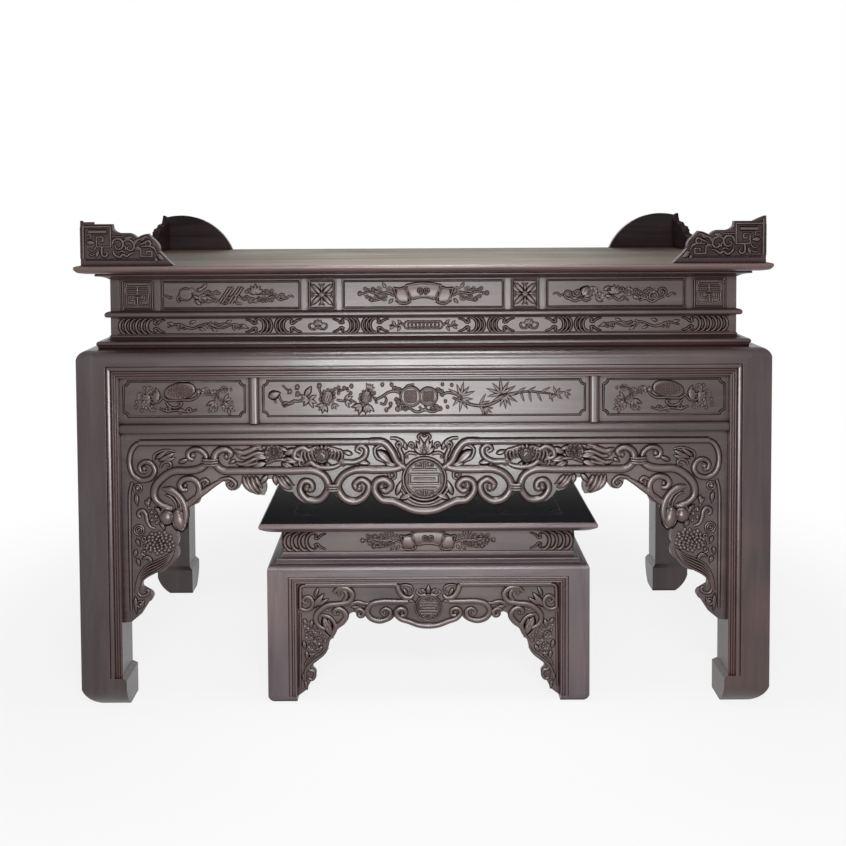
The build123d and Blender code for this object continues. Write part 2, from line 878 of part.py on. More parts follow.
bracket = (bracket_start, bracket_edge)
leaf = (bracket_edge[-1][-1], bracket_leaf_edge)
scroll = (scroll_start, scroll_edge)
drop = (drop_start, drop_edge)
front_faces = apron_faces(opening_x, z_apron, bracket, leaf, scroll, drop)
front_plane = face_plane("front", leg_x, leg_y - apron_setback)
save(apron(front_plane, opening_x, z_apron, apron_band, apron_thickness, front_faces), "front_apron")

end_faces = apron_faces(opening_y, z_apron, bracket, None, None, (end_drop_start, drop_edge))
for side in ("left", "right"):
    plane = face_plane(side, leg_x - apron_setback, leg_y)
    save(apron(plane, opening_y, z_apron, apron_band, apron_thickness, end_faces), f"{side}_apron")

back_plane = face_plane("back", leg_x, leg_y - apron_setback)
back_low = (-opening_x, z_apron - back_apron_height)
save(board(back_plane, back_low, (opening_x, z_apron), apron_thickness), "back_apron")


# Corner ears, mitred in pairs
def ear(side, sign_x, sign_y, start, edge):
    plane = face_plane(side, ear_x, ear_y)
    corner = Vector(sign_x * ear_x, sign_y * ear_y, 0)
    anchor = plane.to_local_coords(corner).X
    direction = -1 if anchor > 0 else 1
    out = Vector(*outward[side])
    along = plane.x_dir * -direction
    with BuildPart() as piece:
        with BuildSketch(plane):
            add(scalloped_face(anchor, direction, z_top, 1, start, edge))
        extrude(amount=-ear_thickness)
        split(bisect_by=Plane(origin=corner, z_dir=along - out), keep=Keep.BOTTOM)
    return piece.part


for name, (sign_x, sign_y) in corners.items():
    end_side = "left" if sign_x < 0 else "right"
    if sign_y < 0:
        tip = front_ear_tips[end_side]
        edge = [(None, tip), (None, ear_tip_foot), *carved_ear_edge]
        save(ear("front", sign_x, sign_y, (0, tip[1]), edge), f"{name}_ear")
    else:
        save(ear("back", sign_x, sign_y, (0, side_ear_height), back_ear_edge), f"{name}_ear")
    save(ear(end_side, sign_x, sign_y, (0, side_ear_height), side_ear_edge), f"{name}_side_ear")

# Low offering table
# Top rails: a square edge with softened arrises over a cove that sinks to the waist
with BuildSketch() as low_rail_section:
    with BuildLine():
        low_lines = Polyline(
            (-low_nose_step, low_z_edge),
            (0, low_z_edge),
            (0, low_z_top),
            (-low_top_rail_width, low_z_top),
            (-low_top_rail_width, low_z_cove),
            (-low_waist_overhang, low_z_cove),
        )
        SagittaArc(low_lines @ 1, low_lines @ 0, -low_cove_sink)
    make_face()
    chamfer(vertices().group_by(Axis.X)[-1], low_nose_chamfer)
    rectangle_between(
        (-low_top_rail_width, low_z_top - low_tongue_drop - low_tongue_thickness),
        (low_tongue_length - low_top_rail_width, low_z_top - low_tongue_drop),
        Mode.SUBTRACT,
    )
low_top_bars = mitred_frame(low_rail_section.sketch, low_half_width, low_half_depth, low_centre)
save_group(low_top_bars.values(), "low_top_frame")

low_panel_x = low_half_width - low_top_rail_width
low_panel_y = low_half_depth - low_top_rail_width
low_tongue = (low_tongue_length, low_tongue_thickness, low_tongue_drop)
low_panel = floating_panel(
    low_panel_x,
    low_panel_y,
    low_z_top,
    low_top_panel_thickness,
    low_tongue,
    low_centre,
)
save(low_panel, "low_top_panel")

with BuildPart() as low_battens:
    with BuildSketch(Plane.XY.offset(low_z_top - low_top_panel_thickness)):
        with Locations(low_centre):
            with GridLocations(2 * low_panel_x / (low_batten_count + 1), 1, low_batten_count, 1):
                Rectangle(low_batten_width, 2 * low_panel_y)
    extrude(amount=-low_batten_height)
save(low_battens.part, "low_top_battens")

with BuildSketch() as low_frieze_section:
    rectangle_between((-low_frieze_thickness, low_z_frieze), (0, low_z_cove))
low_friezes = mitred_frame(low_frieze_section.sketch, low_waist_x, low_waist_y, low_centre)
save_group(low_friezes.values(), "low_friezes")

low_ledge_reach = low_waist_overhang - low_leg_overhang - low_shoulder_setback
low_ledge = ledge_section(
    low_z_frieze,
    low_z_shoulder,
    low_waist_inside,
    low_ledge_fillet,
    low_ledge_bead_drop,
    low_ledge_bead_reach,
    low_ledge_bead,
    low_ledge_reach,
)
low_ledge_bars = mitred_frame(low_ledge, low_waist_x, low_waist_y, low_centre)
save_group(low_ledge_bars.values(), "low_ledge_moulding")

low_tenon = (low_tenon_length, low_tenon_thickness, tenon_shoulder)
low_moulding = low_leg_size - low_leg_flat
low_stretch = low_shoulder_height / (low_leg_size - low_shoulder_setback)
low_beads = (low_bead_width, low_bead_depth, low_reed_drop, low_reed_depth, low_reed_count)
low_cut = bead_cut(lambda u, d: (-d, low_z_apron + u), low_moulding, low_beads, low_stretch)
low_shoulder = shoulder_section(
    low_z_shoulder,
    low_z_apron,
    low_shoulder_depth,
    low_shoulder_round,
    low_cut,
)
low_rails = [
    shoulder_rail(
        low_shoulder,
        side,
        low_leg_x,
        low_leg_y,
        low_leg_size,
        low_shoulder_setback,
        low_shoulder_depth,
        low_z_apron,
        low_z_shoulder,
        low_tenon,
        low_centre,
    )
    for side in outward
]
save_group(low_rails, "low_shoulder_rails")

low_tenon_middle = (low_shoulder_setback + low_shoulder_depth) / 2
low_sockets = [
    (
        low_z_apron + tenon_shoulder,
        low_z_shoulder - tenon_shoulder,
        low_tenon_length,
        low_tenon_middle - low_tenon_thickness / 2,
        low_tenon_middle + low_tenon_thickness / 2,
    )
]
low_leg = make_leg(
    low_leg_size,
    low_leg_flat,
    (low_shoulder_setback, low_shoulder_round),
    (low_z_apron, low_z_shoulder),
    low_beads,
    low_bead_foot,
    (low_foot_inset, low_foot_rise, low_foot_bulge),
    (0, 0, 0),  # no swelling at the hoof
    low_sockets,
)
low_legs = [
    place_leg(low_leg, sign_x, sign_y, low_leg_x, low_leg_y, low_centre)
    for sign_x, sign_y in corners.values()
]
save_group(low_legs, "low_legs")

low_bracket = (low_bracket_start, low_bracket_edge)
low_leaf = (low_bracket_edge[-1][-1], low_leaf_edge)
low_scroll = (low_scroll_start, low_scroll_edge)
low_drop = (low_drop_start, low_drop_edge)
low_front_faces = apron_faces(low_opening_x, low_z_apron, low_bracket, low_leaf, low_scroll, low_drop)
low_front = face_plane("front", low_leg_x, low_leg_y - low_apron_setback, low_centre)
low_front_apron = apron(
    low_front, low_opening_x, low_z_apron, low_apron_band, low_apron_thickness, low_front_faces
)
save(low_front_apron, "low_front_apron")

low_end_faces = apron_faces(low_opening_y, low_z_apron, low_bracket, None, None, low_drop)
low_ends = []
for side in ("left", "right"):
    plane = face_plane(side, low_leg_x - low_apron_setback, low_leg_y, low_centre)
    low_ends.append(
        apron(plane, low_opening_y, low_z_apron, low_apron_band, low_apron_thickness, low_end_faces)
    )
save_group(low_ends, "low_end_aprons")

low_back = face_plane("back", low_leg_x, low_leg_y - low_apron_setback, low_centre)
low_back_corner = (-low_opening_x, low_z_apron - low_back_apron_height)
low_back_apron = board(low_back, low_back_corner, (low_opening_x, low_z_apron), low_apron_thickness)
save(low_back_apron, "low_back_apron")
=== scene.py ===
import math

import bmesh
import bpy
from mathutils import Matrix, Vector


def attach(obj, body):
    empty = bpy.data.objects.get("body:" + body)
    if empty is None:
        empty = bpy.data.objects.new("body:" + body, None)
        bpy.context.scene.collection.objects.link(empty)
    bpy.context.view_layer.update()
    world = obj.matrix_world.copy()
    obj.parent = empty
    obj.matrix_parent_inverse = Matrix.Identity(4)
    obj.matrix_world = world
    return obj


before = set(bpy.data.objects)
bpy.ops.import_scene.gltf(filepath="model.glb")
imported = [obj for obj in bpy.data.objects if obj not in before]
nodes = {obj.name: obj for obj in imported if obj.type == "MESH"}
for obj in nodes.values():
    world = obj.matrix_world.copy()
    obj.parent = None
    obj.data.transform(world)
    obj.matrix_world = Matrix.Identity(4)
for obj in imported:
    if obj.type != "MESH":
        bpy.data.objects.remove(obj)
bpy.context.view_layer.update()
print("frame loaded:", len(nodes), "pieces of the table")

mm = 0.001


# Camera, lamps and floor
viewSetup = {
    "place": (-0.029, -3.520, 1.435),
    "pitchDown": 2.5,  # degrees
    "roll": -0.3,  # degrees
    "lens": 46.1,
    "shift": (0.0119, -0.2077),
}


def setCamera():
    data = bpy.data.cameras.new("tableCamera")
    data.lens = viewSetup["lens"]
    data.shift_x, data.shift_y = viewSetup["shift"]
    camera = bpy.data.objects.new("tableCamera", data)
    tilt = Matrix.Rotation(math.radians(90 - viewSetup["pitchDown"]), 4, "X")
    roll = Matrix.Rotation(math.radians(viewSetup["roll"]), 4, "Z")
    camera.matrix_world = Matrix.Translation(viewSetup["place"]) @ tilt @ roll
    bpy.context.scene.collection.objects.link(camera)
    bpy.context.scene.camera = camera


# name: place, aim, width and height of the lamp, beam in degrees, watts
lamps = {
    "lowSoftbox": ((0.02, -2.75, 0.53), (0.0, -0.5, 0.82), (1.2, 0.82), 180, 69),
    "highSoftbox": ((0.15, -3.9, 2.85), (0.0, -0.5, 0.8), (1.3, 0.4), 180, 96),
    "overheadSoftbox": ((0.05, -0.62, 2.6), (0.05, -0.33, 1.2), (0.8, 0.6), 62, 6.5),
    "leftFill": ((-4.2, 0.3, 1.3), (0.0, 0.0, 0.7), (1.6, 1.2), 180, 18),
    "rightFill": ((4.2, 0.3, 1.3), (0.0, 0.0, 0.7), (1.6, 1.2), 180, 20),
    "backFill": ((0.0, 4.2, 2.2), (0.0, 0.0, 0.8), (2.6, 1.6), 180, 28),
}
stageSetup = {
    "floorSize": 14.0,
    "level": -0.0005,  # just under the feet
    "floorColour": (0.55, 0.55, 0.55, 1),
    "ownLight": 0.84,  # near the table, where its shadow shows
    "fadeStart": 1.0,  # the floor turns white between these distances
    "fadeEnd": 2.4,
    "worldLight": 0.20,
}


def setLamps():
    for name, (place, aim, size, beam, watts) in lamps.items():
        data = bpy.data.lights.new(name, "AREA")
        data.shape = "RECTANGLE"
        data.size, data.size_y = size
        data.spread = math.radians(beam)
        data.energy = watts
        lamp = bpy.data.objects.new(name, data)
        lamp.location = place
        lamp.visible_camera = False
        lamp.rotation_euler = (Vector(aim) - Vector(place)).to_track_quat("-Z", "Y").to_euler()
        bpy.context.scene.collection.objects.link(lamp)


# One node of a tree: its settings, and its inputs as values or as the sockets that feed them
def addNode(tree, kind, inputs=None, **settings):
    node = tree.nodes.new(kind)
    for key, value in settings.items():
        setattr(node, key, value)
    for key, value in (inputs or {}).items():
        if isinstance(value, bpy.types.NodeSocket):
            tree.links.new(value, node.inputs[key])
        else:
            node.inputs[key].default_value = value
    return node


# A maker of shader nodes for one tree; each call returns the socket named or numbered by output
def shaderMaker(tree):
    def make(kind, inputs=None, output=0, **settings):
        return addNode(tree, "ShaderNode" + kind, inputs, **settings).outputs[output]

    return make


def emptyTree(owner):
    owner.use_nodes = True
    owner.node_tree.nodes.clear()
    return owner.node_tree


# 1 where the ray comes from the camera, a mirror or through glass
def seenDirectly(tree):
    path = addNode(tree, "ShaderNodeLightPath").outputs
    seen = path["Is Camera Ray"]
    for ray in ("Is Glossy Ray", "Is Transmission Ray"):
        seen = addNode(tree, "ShaderNodeMath", {0: seen, 1: path[ray]}, operation="MAXIMUM").outputs[0]
    return seen


def setRoom(world):
    tree = emptyTree(world)
    make = shaderMaker(tree)
    white, soft = [make("Background", {"Color": (1, 1, 1, 1), "Strength": strength})
                   for strength in (1.0, stageSetup["worldLight"])]
    addNode(tree, "ShaderNodeOutputWorld", {0: make("MixShader", {0: seenDirectly(tree), 1: soft, 2: white})})


# White far off and to the mirrors, clear from below, and with the table's shadow near it
def floorMaterial():
    material = bpy.data.materials.new("paleFloor")
    tree = emptyTree(material)
    make = shaderMaker(tree)
    away = make("VectorMath", {0: make("TexCoord", output="Object")}, "Value", operation="LENGTH")
    whiter = make("MapRange", {0: away, 1: stageSetup["fadeStart"], 2: stageSetup["fadeEnd"],
                               3: stageSetup["ownLight"], 4: 1.0}, interpolation_type="SMOOTHSTEP")
    share = make("Math", {0: seenDirectly(tree), 1: whiter}, operation="MULTIPLY")
    matt = make("BsdfDiffuse", {"Color": stageSetup["floorColour"]})
    above = make("MixShader", {0: share, 1: matt, 2: make("Emission", {"Strength": 1.0})})
    below = make("NewGeometry", output="Backfacing")
    addNode(tree, "ShaderNodeOutputMaterial",
            {0: make("MixShader", {0: below, 1: above, 2: make("BsdfTransparent")})})
    return material


def setStage():
    scene = bpy.context.scene
    scene.view_settings.view_transform = "Standard"
    scene.world = bpy.data.worlds.new("paleRoom")
    setRoom(scene.world)
    half, low = stageSetup["floorSize"] / 2, stageSetup["level"]
    mesh = bpy.data.meshes.new("floor")
    corners = [(-half, -half, low), (half, -half, low), (half, half, low), (-half, half, low)]
    mesh.from_pydata(corners, [], [(0, 1, 2, 3)])
    mesh.materials.append(floorMaterial())
    floor = bpy.data.objects.new("floor", mesh)
    scene.collection.objects.link(floor)


setCamera()
setLamps()
setStage()
print("camera, lamps and floor set")


# Finishes
# dark, middle and worn colours of the wood, and how rough and how strong its lacquer's shine is; upperFace,
# upperRoughness and upperShine paint light and shade on upward faces
finishes = {
    # colours lighter than the other woods: a painted reflection of the pale room, seen at a low angle
    "polishedTop": {
        "dark": (0.050, 0.037, 0.026), "middle": (0.130, 0.100, 0.071), "worn": (0.17, 0.100, 0.064),
        "roughness": 0.60, "shine": 0.13, "grainDepth": 0.30, "figure": 1.6,
    },
    "topRail": {
        "dark": (0.028, 0.011, 0.010), "middle": (0.058, 0.027, 0.024), "worn": (0.14, 0.048, 0.032),
        "roughness": 0.36, "shine": 0.80, "grainDepth": 0.25, "figure": 0.7,
        # upward faces lighter, as on the top: a painted reflection
        "upperFace": (0.103, 0.079, 0.056), "upperRoughness": 0.60, "upperShine": 0.13,
    },
    "frameRosewood": {
        "dark": (0.020, 0.0105, 0.0112), "middle": (0.039, 0.0245, 0.0258), "worn": (0.11, 0.044, 0.034),
        "roughness": 0.30, "shine": 0.56, "grainDepth": 0.22, "figure": 0.8,
    },
    "carvedPanels": {
        "dark": (0.026, 0.015, 0.015), "middle": (0.049, 0.032, 0.032), "worn": (0.12, 0.060, 0.048),
        "roughness": 0.34, "shine": 0.46, "grainDepth": 0.18, "figure": 0.6,
    },
    "carvedAprons": {
        "dark": (0.020, 0.012, 0.013), "middle": (0.042, 0.029, 0.030), "worn": (0.14, 0.080, 0.064),
        "roughness": 0.30, "shine": 0.56, "grainDepth": 0.18, "figure": 0.6,
    },
    "earBoards": {
        "dark": (0.020, 0.013, 0.014), "middle": (0.044, 0.032, 0.033), "worn": (0.10, 0.062, 0.052),
        "roughness": 0.42, "shine": 0.06, "carvedShine": 0.45, "grainDepth": 0.2, "figure": 0.6,
        # upward faces near black: painted shade
        "upperFace": (0.006, 0.004, 0.004), "upperRoughness": 0.75, "upperShine": 0.03,
    },
    "lowTableWood": {
        "dark": (0.036, 0.025, 0.029), "middle": (0.070, 0.053, 0.060), "worn": (0.12, 0.062, 0.052),
        "roughness": 0.33, "shine": 0.5, "grainDepth": 0.2, "figure": 0.7,
    },
    "lowTopWood": {
        "dark": (0.045, 0.028, 0.033), "middle": (0.085, 0.060, 0.064), "worn": (0.13, 0.060, 0.048),
        "roughness": 0.34, "shine": 0.5, "grainDepth": 0.2, "figure": 0.7,
        # upward faces near-black blue: painted shade and painted reflection of the altar table's dark
        # underside
        "upperFace": (0.001, 0.002, 0.007), "upperRoughness": 0.28, "upperShine": 0.12,
    },
    # the low table's top panel, near-black blue: painted shade and painted reflection of the altar table's
    # dark underside, not the wood's colour
    "shadedLowTop": {
        "dark": (0.001, 0.002, 0.006), "middle": (0.002, 0.004, 0.012), "worn": (0.02, 0.02, 0.03),
        "roughness": 0.28, "shine": 0.13, "grainDepth": 0.12, "figure": 0.5,
    },
    "innerWood": {
        "dark": (0.028, 0.018, 0.013), "middle": (0.060, 0.040, 0.030), "worn": (0.10, 0.06, 0.045),
        "roughness": 0.62, "shine": 0.3, "grainDepth": 0.5, "figure": 1.0,
    },
}
grainSetup = {
    "along": 0.9,  # how fast the figure changes along the grain, per metre
    "across": 13.0,
    "poreAlong": 26.0,
    "poreAcross": 620.0,
    "edgeRadius": 0.0022,
    # painted shade: how far the occlusion reaches, and the colours that recesses are darkened towards
    "paintedShadeReach": 0.014,
    "framePaintedShade": (0.026, 0.006, 0.006),  # painted red-brown shade in the frames' corners and hollows
    "carvedPaintedShade": (0.005, 0.002, 0.002),
}
grainAxes = {"X": (0, 1, 1), "Y": (1, 0, 1), "Z": (1, 1, 0)}  # 1 where the grain's lines lie side by side
woodCache = {}


# Object coordinates, stretched along the grain. A mitred frame turns its grain at the mitres.
def grainVector(make, grain, alongScale, acrossScale, mitre):
    place = make("TexCoord", output="Object")

    def stretched(axis):
        scale = [acrossScale if side else alongScale for side in grainAxes[axis]]
        return make("Mapping", {"Vector": place, "Scale": scale})

    if grain != "mitred":
        return stretched(grain)
    gaps = []
    for axis, (centre, half) in enumerate(mitre):
        shifted = make("Math", {0: make("SeparateXYZ", {0: place}, axis), 1: centre}, operation="SUBTRACT")
        size = make("Math", {0: shifted}, operation="ABSOLUTE")
        gaps.append(make("Math", {0: size, 1: half}, operation="SUBTRACT"))
    turned = make("Math", {0: gaps[0], 1: gaps[1]}, operation="GREATER_THAN")
    return make("Mix", {0: turned, 4: stretched("X"), 5: stretched("Y")}, 1, data_type="VECTOR")


# Lacquered wood with its grain along one axis. A carved finish also reads how high each point stands.
def wood(finish, grain="X", carved=False, mitre=((0, 0), (0, 0))):
    key = (finish, grain, carved, mitre)
    if key in woodCache:
        return woodCache[key]
    look = finishes[finish]
    material = bpy.data.materials.new(finish + grain + ("Carved" if carved else ""))
    make = shaderMaker(emptyTree(material))
    vector = grainVector(make, grain, grainSetup["along"], grainSetup["across"], mitre)
    poreVector = grainVector(make, grain, grainSetup["poreAlong"], grainSetup["poreAcross"], mitre)
    place = make("TexCoord", output="Object")

    def noise(vector, scale, detail=3.0, roughness=0.55, distortion=0.0):
        return make("TexNoise", {"Vector": vector, "Scale": scale, "Detail": detail, "Roughness": roughness,
                                 "Distortion": distortion})

    def ranged(value, fromLow, fromHigh, toLow=0.0, toHigh=1.0):
        return make("MapRange", {0: value, 1: fromLow, 2: fromHigh, 3: toLow, 4: toHigh})

    # colours are given by name from the finish, or as sockets
    def mixed(factor, first, second, blend="MIX"):
        first, second = [(*look[c], 1) if isinstance(c, str) else c for c in (first, second)]
        return make("Mix", {0: factor, 6: first, 7: second}, 2, data_type="RGBA", blend_type=blend)

    figure = noise(vector, 2.2, 6.0, 0.62, 0.6)
    streaks = noise(vector, 9.0, 4.0, 0.7)
    pores = noise(poreVector, 1.0, 2.0, 0.5)
    clouds = noise(place, 3.1, 3.0, 0.5)
    figureMask = ranged(figure, 0.36, 0.64)
    broad = ranged(noise(vector, 0.7, 3.0, 0.6), 0.40, 0.60, 1.0 - 0.30 * look["figure"], 1.0)
    colour = mixed(1.0, mixed(figureMask, "dark", "middle"), broad, "MULTIPLY")
    colour = mixed(ranged(streaks, 0.52, 0.70, 0.0, 0.45 * look["figure"]), colour, "dark")
    colour = mixed(ranged(clouds, 0.50, 0.72, 0.0, 0.22), colour, "worn")
    colour = mixed(ranged(pores, 0.60, 0.70, 0.0, 0.5), colour, "dark")

    # worn arrises: where the rounded normal leaves the true one
    rounded = make("Bevel", {"Radius": grainSetup["edgeRadius"]}, samples=4)
    flat = make("NewGeometry", output="Normal")
    edge = ranged(make("VectorMath", {0: rounded, 1: flat}, "Value", operation="DOT_PRODUCT"), 0.985, 0.80)
    rubbed = ranged(noise(place, 24.0, 4.0, 0.6), 0.35, 0.62, 0.1, 0.75)
    colour = mixed(make("Math", {0: edge, 1: rubbed}, operation="MULTIPLY"), colour, "worn")

    # painted shade in the recesses: ambient occlusion darkens the colour towards a dark shade colour and cuts
    # the shine there
    recess = make("AmbientOcclusion", {"Distance": grainSetup["paintedShadeReach"]}, "AO", samples=4)
    clear = ranged(recess, 0.38, 0.95, 0.04, 1.0)
    if carved:
        # painted shade: the foot and flat rim of each stroke, where rise is low, are darkened as the shadowed
        # ground round the carving
        rise = make("Attribute", output="Fac", attribute_name="rise")
        clear = make("Math", {0: clear, 1: ranged(rise, 0.02, 0.45, 0.05, 1.0)}, operation="MULTIPLY")
        # crests tinted lighter towards the worn colour: partly rubbed wear, partly a painted highlight
        colour = mixed(ranged(rise, 0.60, 1.0, 0.0, 0.20), colour, "worn")
    sunk = (*grainSetup["carvedPaintedShade" if carved else "framePaintedShade"], 1)
    colour = mixed(clear, sunk, colour)
    shine = ranged(clouds, 0.3, 0.7, look["roughness"] - 0.05, look["roughness"] + 0.07)
    level = look.get("carvedShine", look["shine"]) if carved else look["shine"]
    level = ranged(clear, 0.0, 0.8, 0.02, level)
    # painted light on upward faces: a lighter colour paints the top rails' reflection, a near-black one
    # paints shade on the ear boards and the low top frame
    if "upperFace" in look:
        upward = make("SeparateXYZ", {0: make("TexCoord", output="Normal")}, 2)
        upper = ranged(upward, 0.90, 0.98)
        face = mixed(figureMask, (*[c * 0.6 for c in look["upperFace"]], 1), "upperFace")
        colour = mixed(upper, colour, mixed(1.0, face, broad, "MULTIPLY"))
        shine = make("Mix", {0: upper, 2: shine, 3: look["upperRoughness"]})
        level = make("Mix", {0: upper, 2: level, 3: look["upperShine"]})

    height = make("Math", {0: streaks, 1: pores}, operation="ADD")
    bump = make("Bump", {"Strength": look["grainDepth"], "Distance": 0.0006, "Height": height,
                         "Normal": rounded})
    surface = make("BsdfPrincipled", {"Base Color": colour, "Roughness": shine, "Normal": bump,
                                      "Specular IOR Level": level})
    addNode(material.node_tree, "ShaderNodeOutputMaterial", {0: surface})
    woodCache[key] = material
    return material


# centre and half length of a mitred frame, across x and across y
waistMitre = ((0.0, 0.892), (0.0, 0.442))
legMitre = ((0.0, 0.970), (0.0, 0.520))
lowMitre = ((0.010, 0.4785), (-0.195, 0.310))

# finish, grain and the nodes that have them
nodeFinishes = (
    ("polishedTop", "X", "top_panel"),
    ("topRail", "X", "top_front_rail top_back_rail"),
    ("topRail", "Y", "top_left_rail top_right_rail"),
    ("innerWood", "Y", "top_battens low_top_battens"),
    ("frameRosewood", "mitred", "under_top_moulding bead_rail ledge_moulding", waistMitre),
    ("frameRosewood", "mitred", "lower_rails", legMitre),
    ("frameRosewood", "X", "front_shoulder_rail back_shoulder_rail"),
    ("frameRosewood", "Y", "left_shoulder_rail right_shoulder_rail"),
    ("frameRosewood", "Z", "upper_posts upper_struts muntins"),
    ("frameRosewood", "Z", "front_left_leg front_right_leg back_left_leg back_right_leg"),
    ("carvedAprons", "X", "front_apron back_apron low_front_apron low_back_apron"),
    ("carvedAprons", "Y", "left_apron right_apron low_end_aprons"),
    ("shadedLowTop", "X", "low_top_panel"),
    ("lowTopWood", "mitred", "low_top_frame", lowMitre),
    ("carvedPanels", "mitred", "low_friezes", lowMitre),
    ("lowTableWood", "mitred", "low_ledge_moulding low_shoulder_rails", lowMitre),
    ("lowTableWood", "Z", "low_legs"),
)


def finishNodes():
    given = {name: (finish, grain, False, *mitre) for finish, grain, names, *mitre in nodeFinishes
             for name in names.split()}
    for name, piece in nodes.items():
        onEnd = "end" in name or "side_ear" in name
        board = ("earBoards" if name.endswith("ear") else "carvedPanels", "Y" if onEnd else "X")
        material = wood(*given.get(name, board))
        for slot in piece.material_slots:
            slot.material = material


finishNodes()
print("finishes laid on", len(nodes), "pieces")


# Carving: strokes and stamps
# A carving is drawn flat on the sheet in millimetres, x along the board and y down from its top edge,
# with strokes (rounded bands that follow a path) and stamps (leaves, petals, berries and discs).
carvingSetup = {
    "step": 3.6,  # millimetres between the sections of a stroke
    "sink": 1.2,  # how far the carving reaches into its board
    "boldSides": 11,  # points round a broad stroke, with two on each side for its rim and sunk edge
    "fineSides": 9,
    "boldWidth": 4.5,  # half width from which a stroke counts as broad
}
sheet = []


# A smooth path through points, as a centripetal spline that doesn't overshoot its corners
def smoothPath(points, step):
    chain = [Vector(p) for p in points]
    chain = [2 * chain[0] - chain[1]] + chain + [2 * chain[-1] - chain[-2]]
    path = [chain[1]]
    for a, b, c, d in zip(chain, chain[1:], chain[2:], chain[3:]):
        knots = [0.0]
        for start, end in ((a, b), (b, c), (c, d)):
            knots.append(knots[-1] + max((end - start).length, 0.01) ** 0.5)
        count = max(1, round((c - b).length / step))
        for i in range(1, count + 1):
            t = knots[1] + (knots[2] - knots[1]) * i / count
            ab = a.lerp(b, t / knots[1])
            bc = b.lerp(c, (t - knots[1]) / (knots[2] - knots[1]))
            cd = c.lerp(d, (t - knots[2]) / (knots[3] - knots[2]))
            abc = ab.lerp(bc, t / knots[2])
            bcd = bc.lerp(cd, (t - knots[1]) / (knots[3] - knots[1]))
            path.append(abc.lerp(bcd, (t - knots[1]) / (knots[2] - knots[1])))
    return path


# Points of a volute from its outer end to its eye; it turns with the drawing's x to y when turns > 0
def curl(x, y, radius, start, turns, inner=0.25):
    count = max(5, round(abs(turns) * 9))
    points = []
    for i in range(count + 1):
        share = i / count
        reach = radius * (1 - (1 - inner) * share)
        angle = math.radians(start + 360 * turns * share)
        points.append((x + reach * math.cos(angle), y + reach * math.sin(angle)))
    return points


# taper: width at the start and at the end, as shares of the full width
# rim widens the flat outline round a stroke, which the finish paints dark as shade
def stroke(points, width, lift=0.9, taper=(1.0, 1.0), groove=0.0, base=0.0, straight=False, blade=False,
           rim=0.0):
    step = carvingSetup["step"] if width < carvingSetup["boldWidth"] else carvingSetup["step"] * 1.3
    path = [Vector(p) for p in points] if straight else smoothPath(points, step)
    widths = []
    for i in range(len(path)):
        share = i / max(1, len(path) - 1)
        if blade:  # a leaf: pointed at both ends, broadest before its middle
            size = max(0.08, math.sin(math.pi * share ** 0.75) ** 0.8)
        else:
            rise = min(1.0, share / 0.12)
            fall = min(1.0, (1 - share) / 0.35)
            size = (taper[0] + (1 - taper[0]) * rise) * (taper[1] + (1 - taper[1]) * fall)
        widths.append(width * size)
    sheet.append(("stroke", path, widths, lift, groove, base, rim))


def strokes(paths, *style, **more):
    for points in paths:
        stroke(points, *style, **more)


# One call of draw for each row of its first values
def each(draw, rows, *values, **more):
    for row in rows:
        draw(*row, *values, **more)


def swirl(x, y, radius, start, turns, width, lift=1.2, taper=(0.6, 0.6), base=0.0, inner=0.25):
    stroke(curl(x, y, radius, start, turns, inner), width, lift, taper, base=base)


def ringStroke(x, y, radius, width, lift=0.9, base=0.0, count=28):
    turns = [2 * math.pi * i / count for i in range(count + 1)]
    path = [Vector((x + radius * math.cos(turn), y + radius * math.sin(turn))) for turn in turns]
    sheet.append(("stroke", path, [width] * len(path), lift, 0.0, base, 0.0))


# A stamp at x, y that points along dx, dy, which is also its length
def stamp(kind, x, y, dx, dy, width, lift):
    sheet.append(("stamp", kind, Vector((x, y)), Vector((dx, dy)), width, lift))


def berry(x, y, size, lift=None):
    stamp("berry", x, y, size, 0, size, size * 0.55 if lift is None else lift)


def leaf(x, y, angle, length, width, lift):
    turn = math.radians(angle)
    stamp("leaf", x, y, length * math.cos(turn), length * math.sin(turn), width, lift)


def leafFan(x, y, size, angles, slim=0.36, lift=3.2):
    for i, angle in enumerate(angles):
        leaf(x, y, angle, size * (1 - 0.12 * (i % 2)), size * slim, lift)


def flower(x, y, radius, petals=5, turn=0.0, lift=None):
    lift = radius * 0.32 if lift is None else lift
    width = 2 * radius * math.sin(math.pi / petals) * 0.95
    near, reach = radius * 0.16, radius * 0.84
    for i in range(petals):
        angle = math.radians(turn + 360 * i / petals)
        dx, dy = math.cos(angle), math.sin(angle)
        stamp("petal", x + near * dx, y + near * dy, dx * reach, dy * reach, width, lift)
    berry(x, y, radius * 0.42 * 1.4, lift * 1.15)


# A bunch of berries laid out as in a seed head
def grapes(x, y, across, down, size, lift=3.0):
    count = round(across * down / (size * size) * 1.1)
    for i in range(count):
        reach = math.sqrt((i + 0.5) / count)
        angle = i * 2.39996
        height = lift + (1 - reach) * lift
        berry(x + across / 2 * reach * math.cos(angle), y + down / 2 * reach * math.sin(angle), size, height)


# A drawing moved, mirrored where side is -1, and turned upside down where down is -1
def placed(items, x=0.0, y=0.0, side=1, scale=1.0, widen=1.0, down=1):
    def at(p):
        return Vector((x + side * scale * widen * p.x, y + down * scale * p.y))

    moved = []
    for kind, *item in items:
        if kind == "stroke":
            path, widths, lift, groove, base, rim = item
            moved.append((kind, [at(p) for p in path], [w * scale for w in widths], lift, groove,
                          base * scale, rim))
        else:
            shape, place, aim, width, lift = item
            aim = Vector((side * scale * aim.x, down * scale * aim.y))
            moved.append((kind, shape, at(place), aim, width * scale, lift * scale))
    return moved


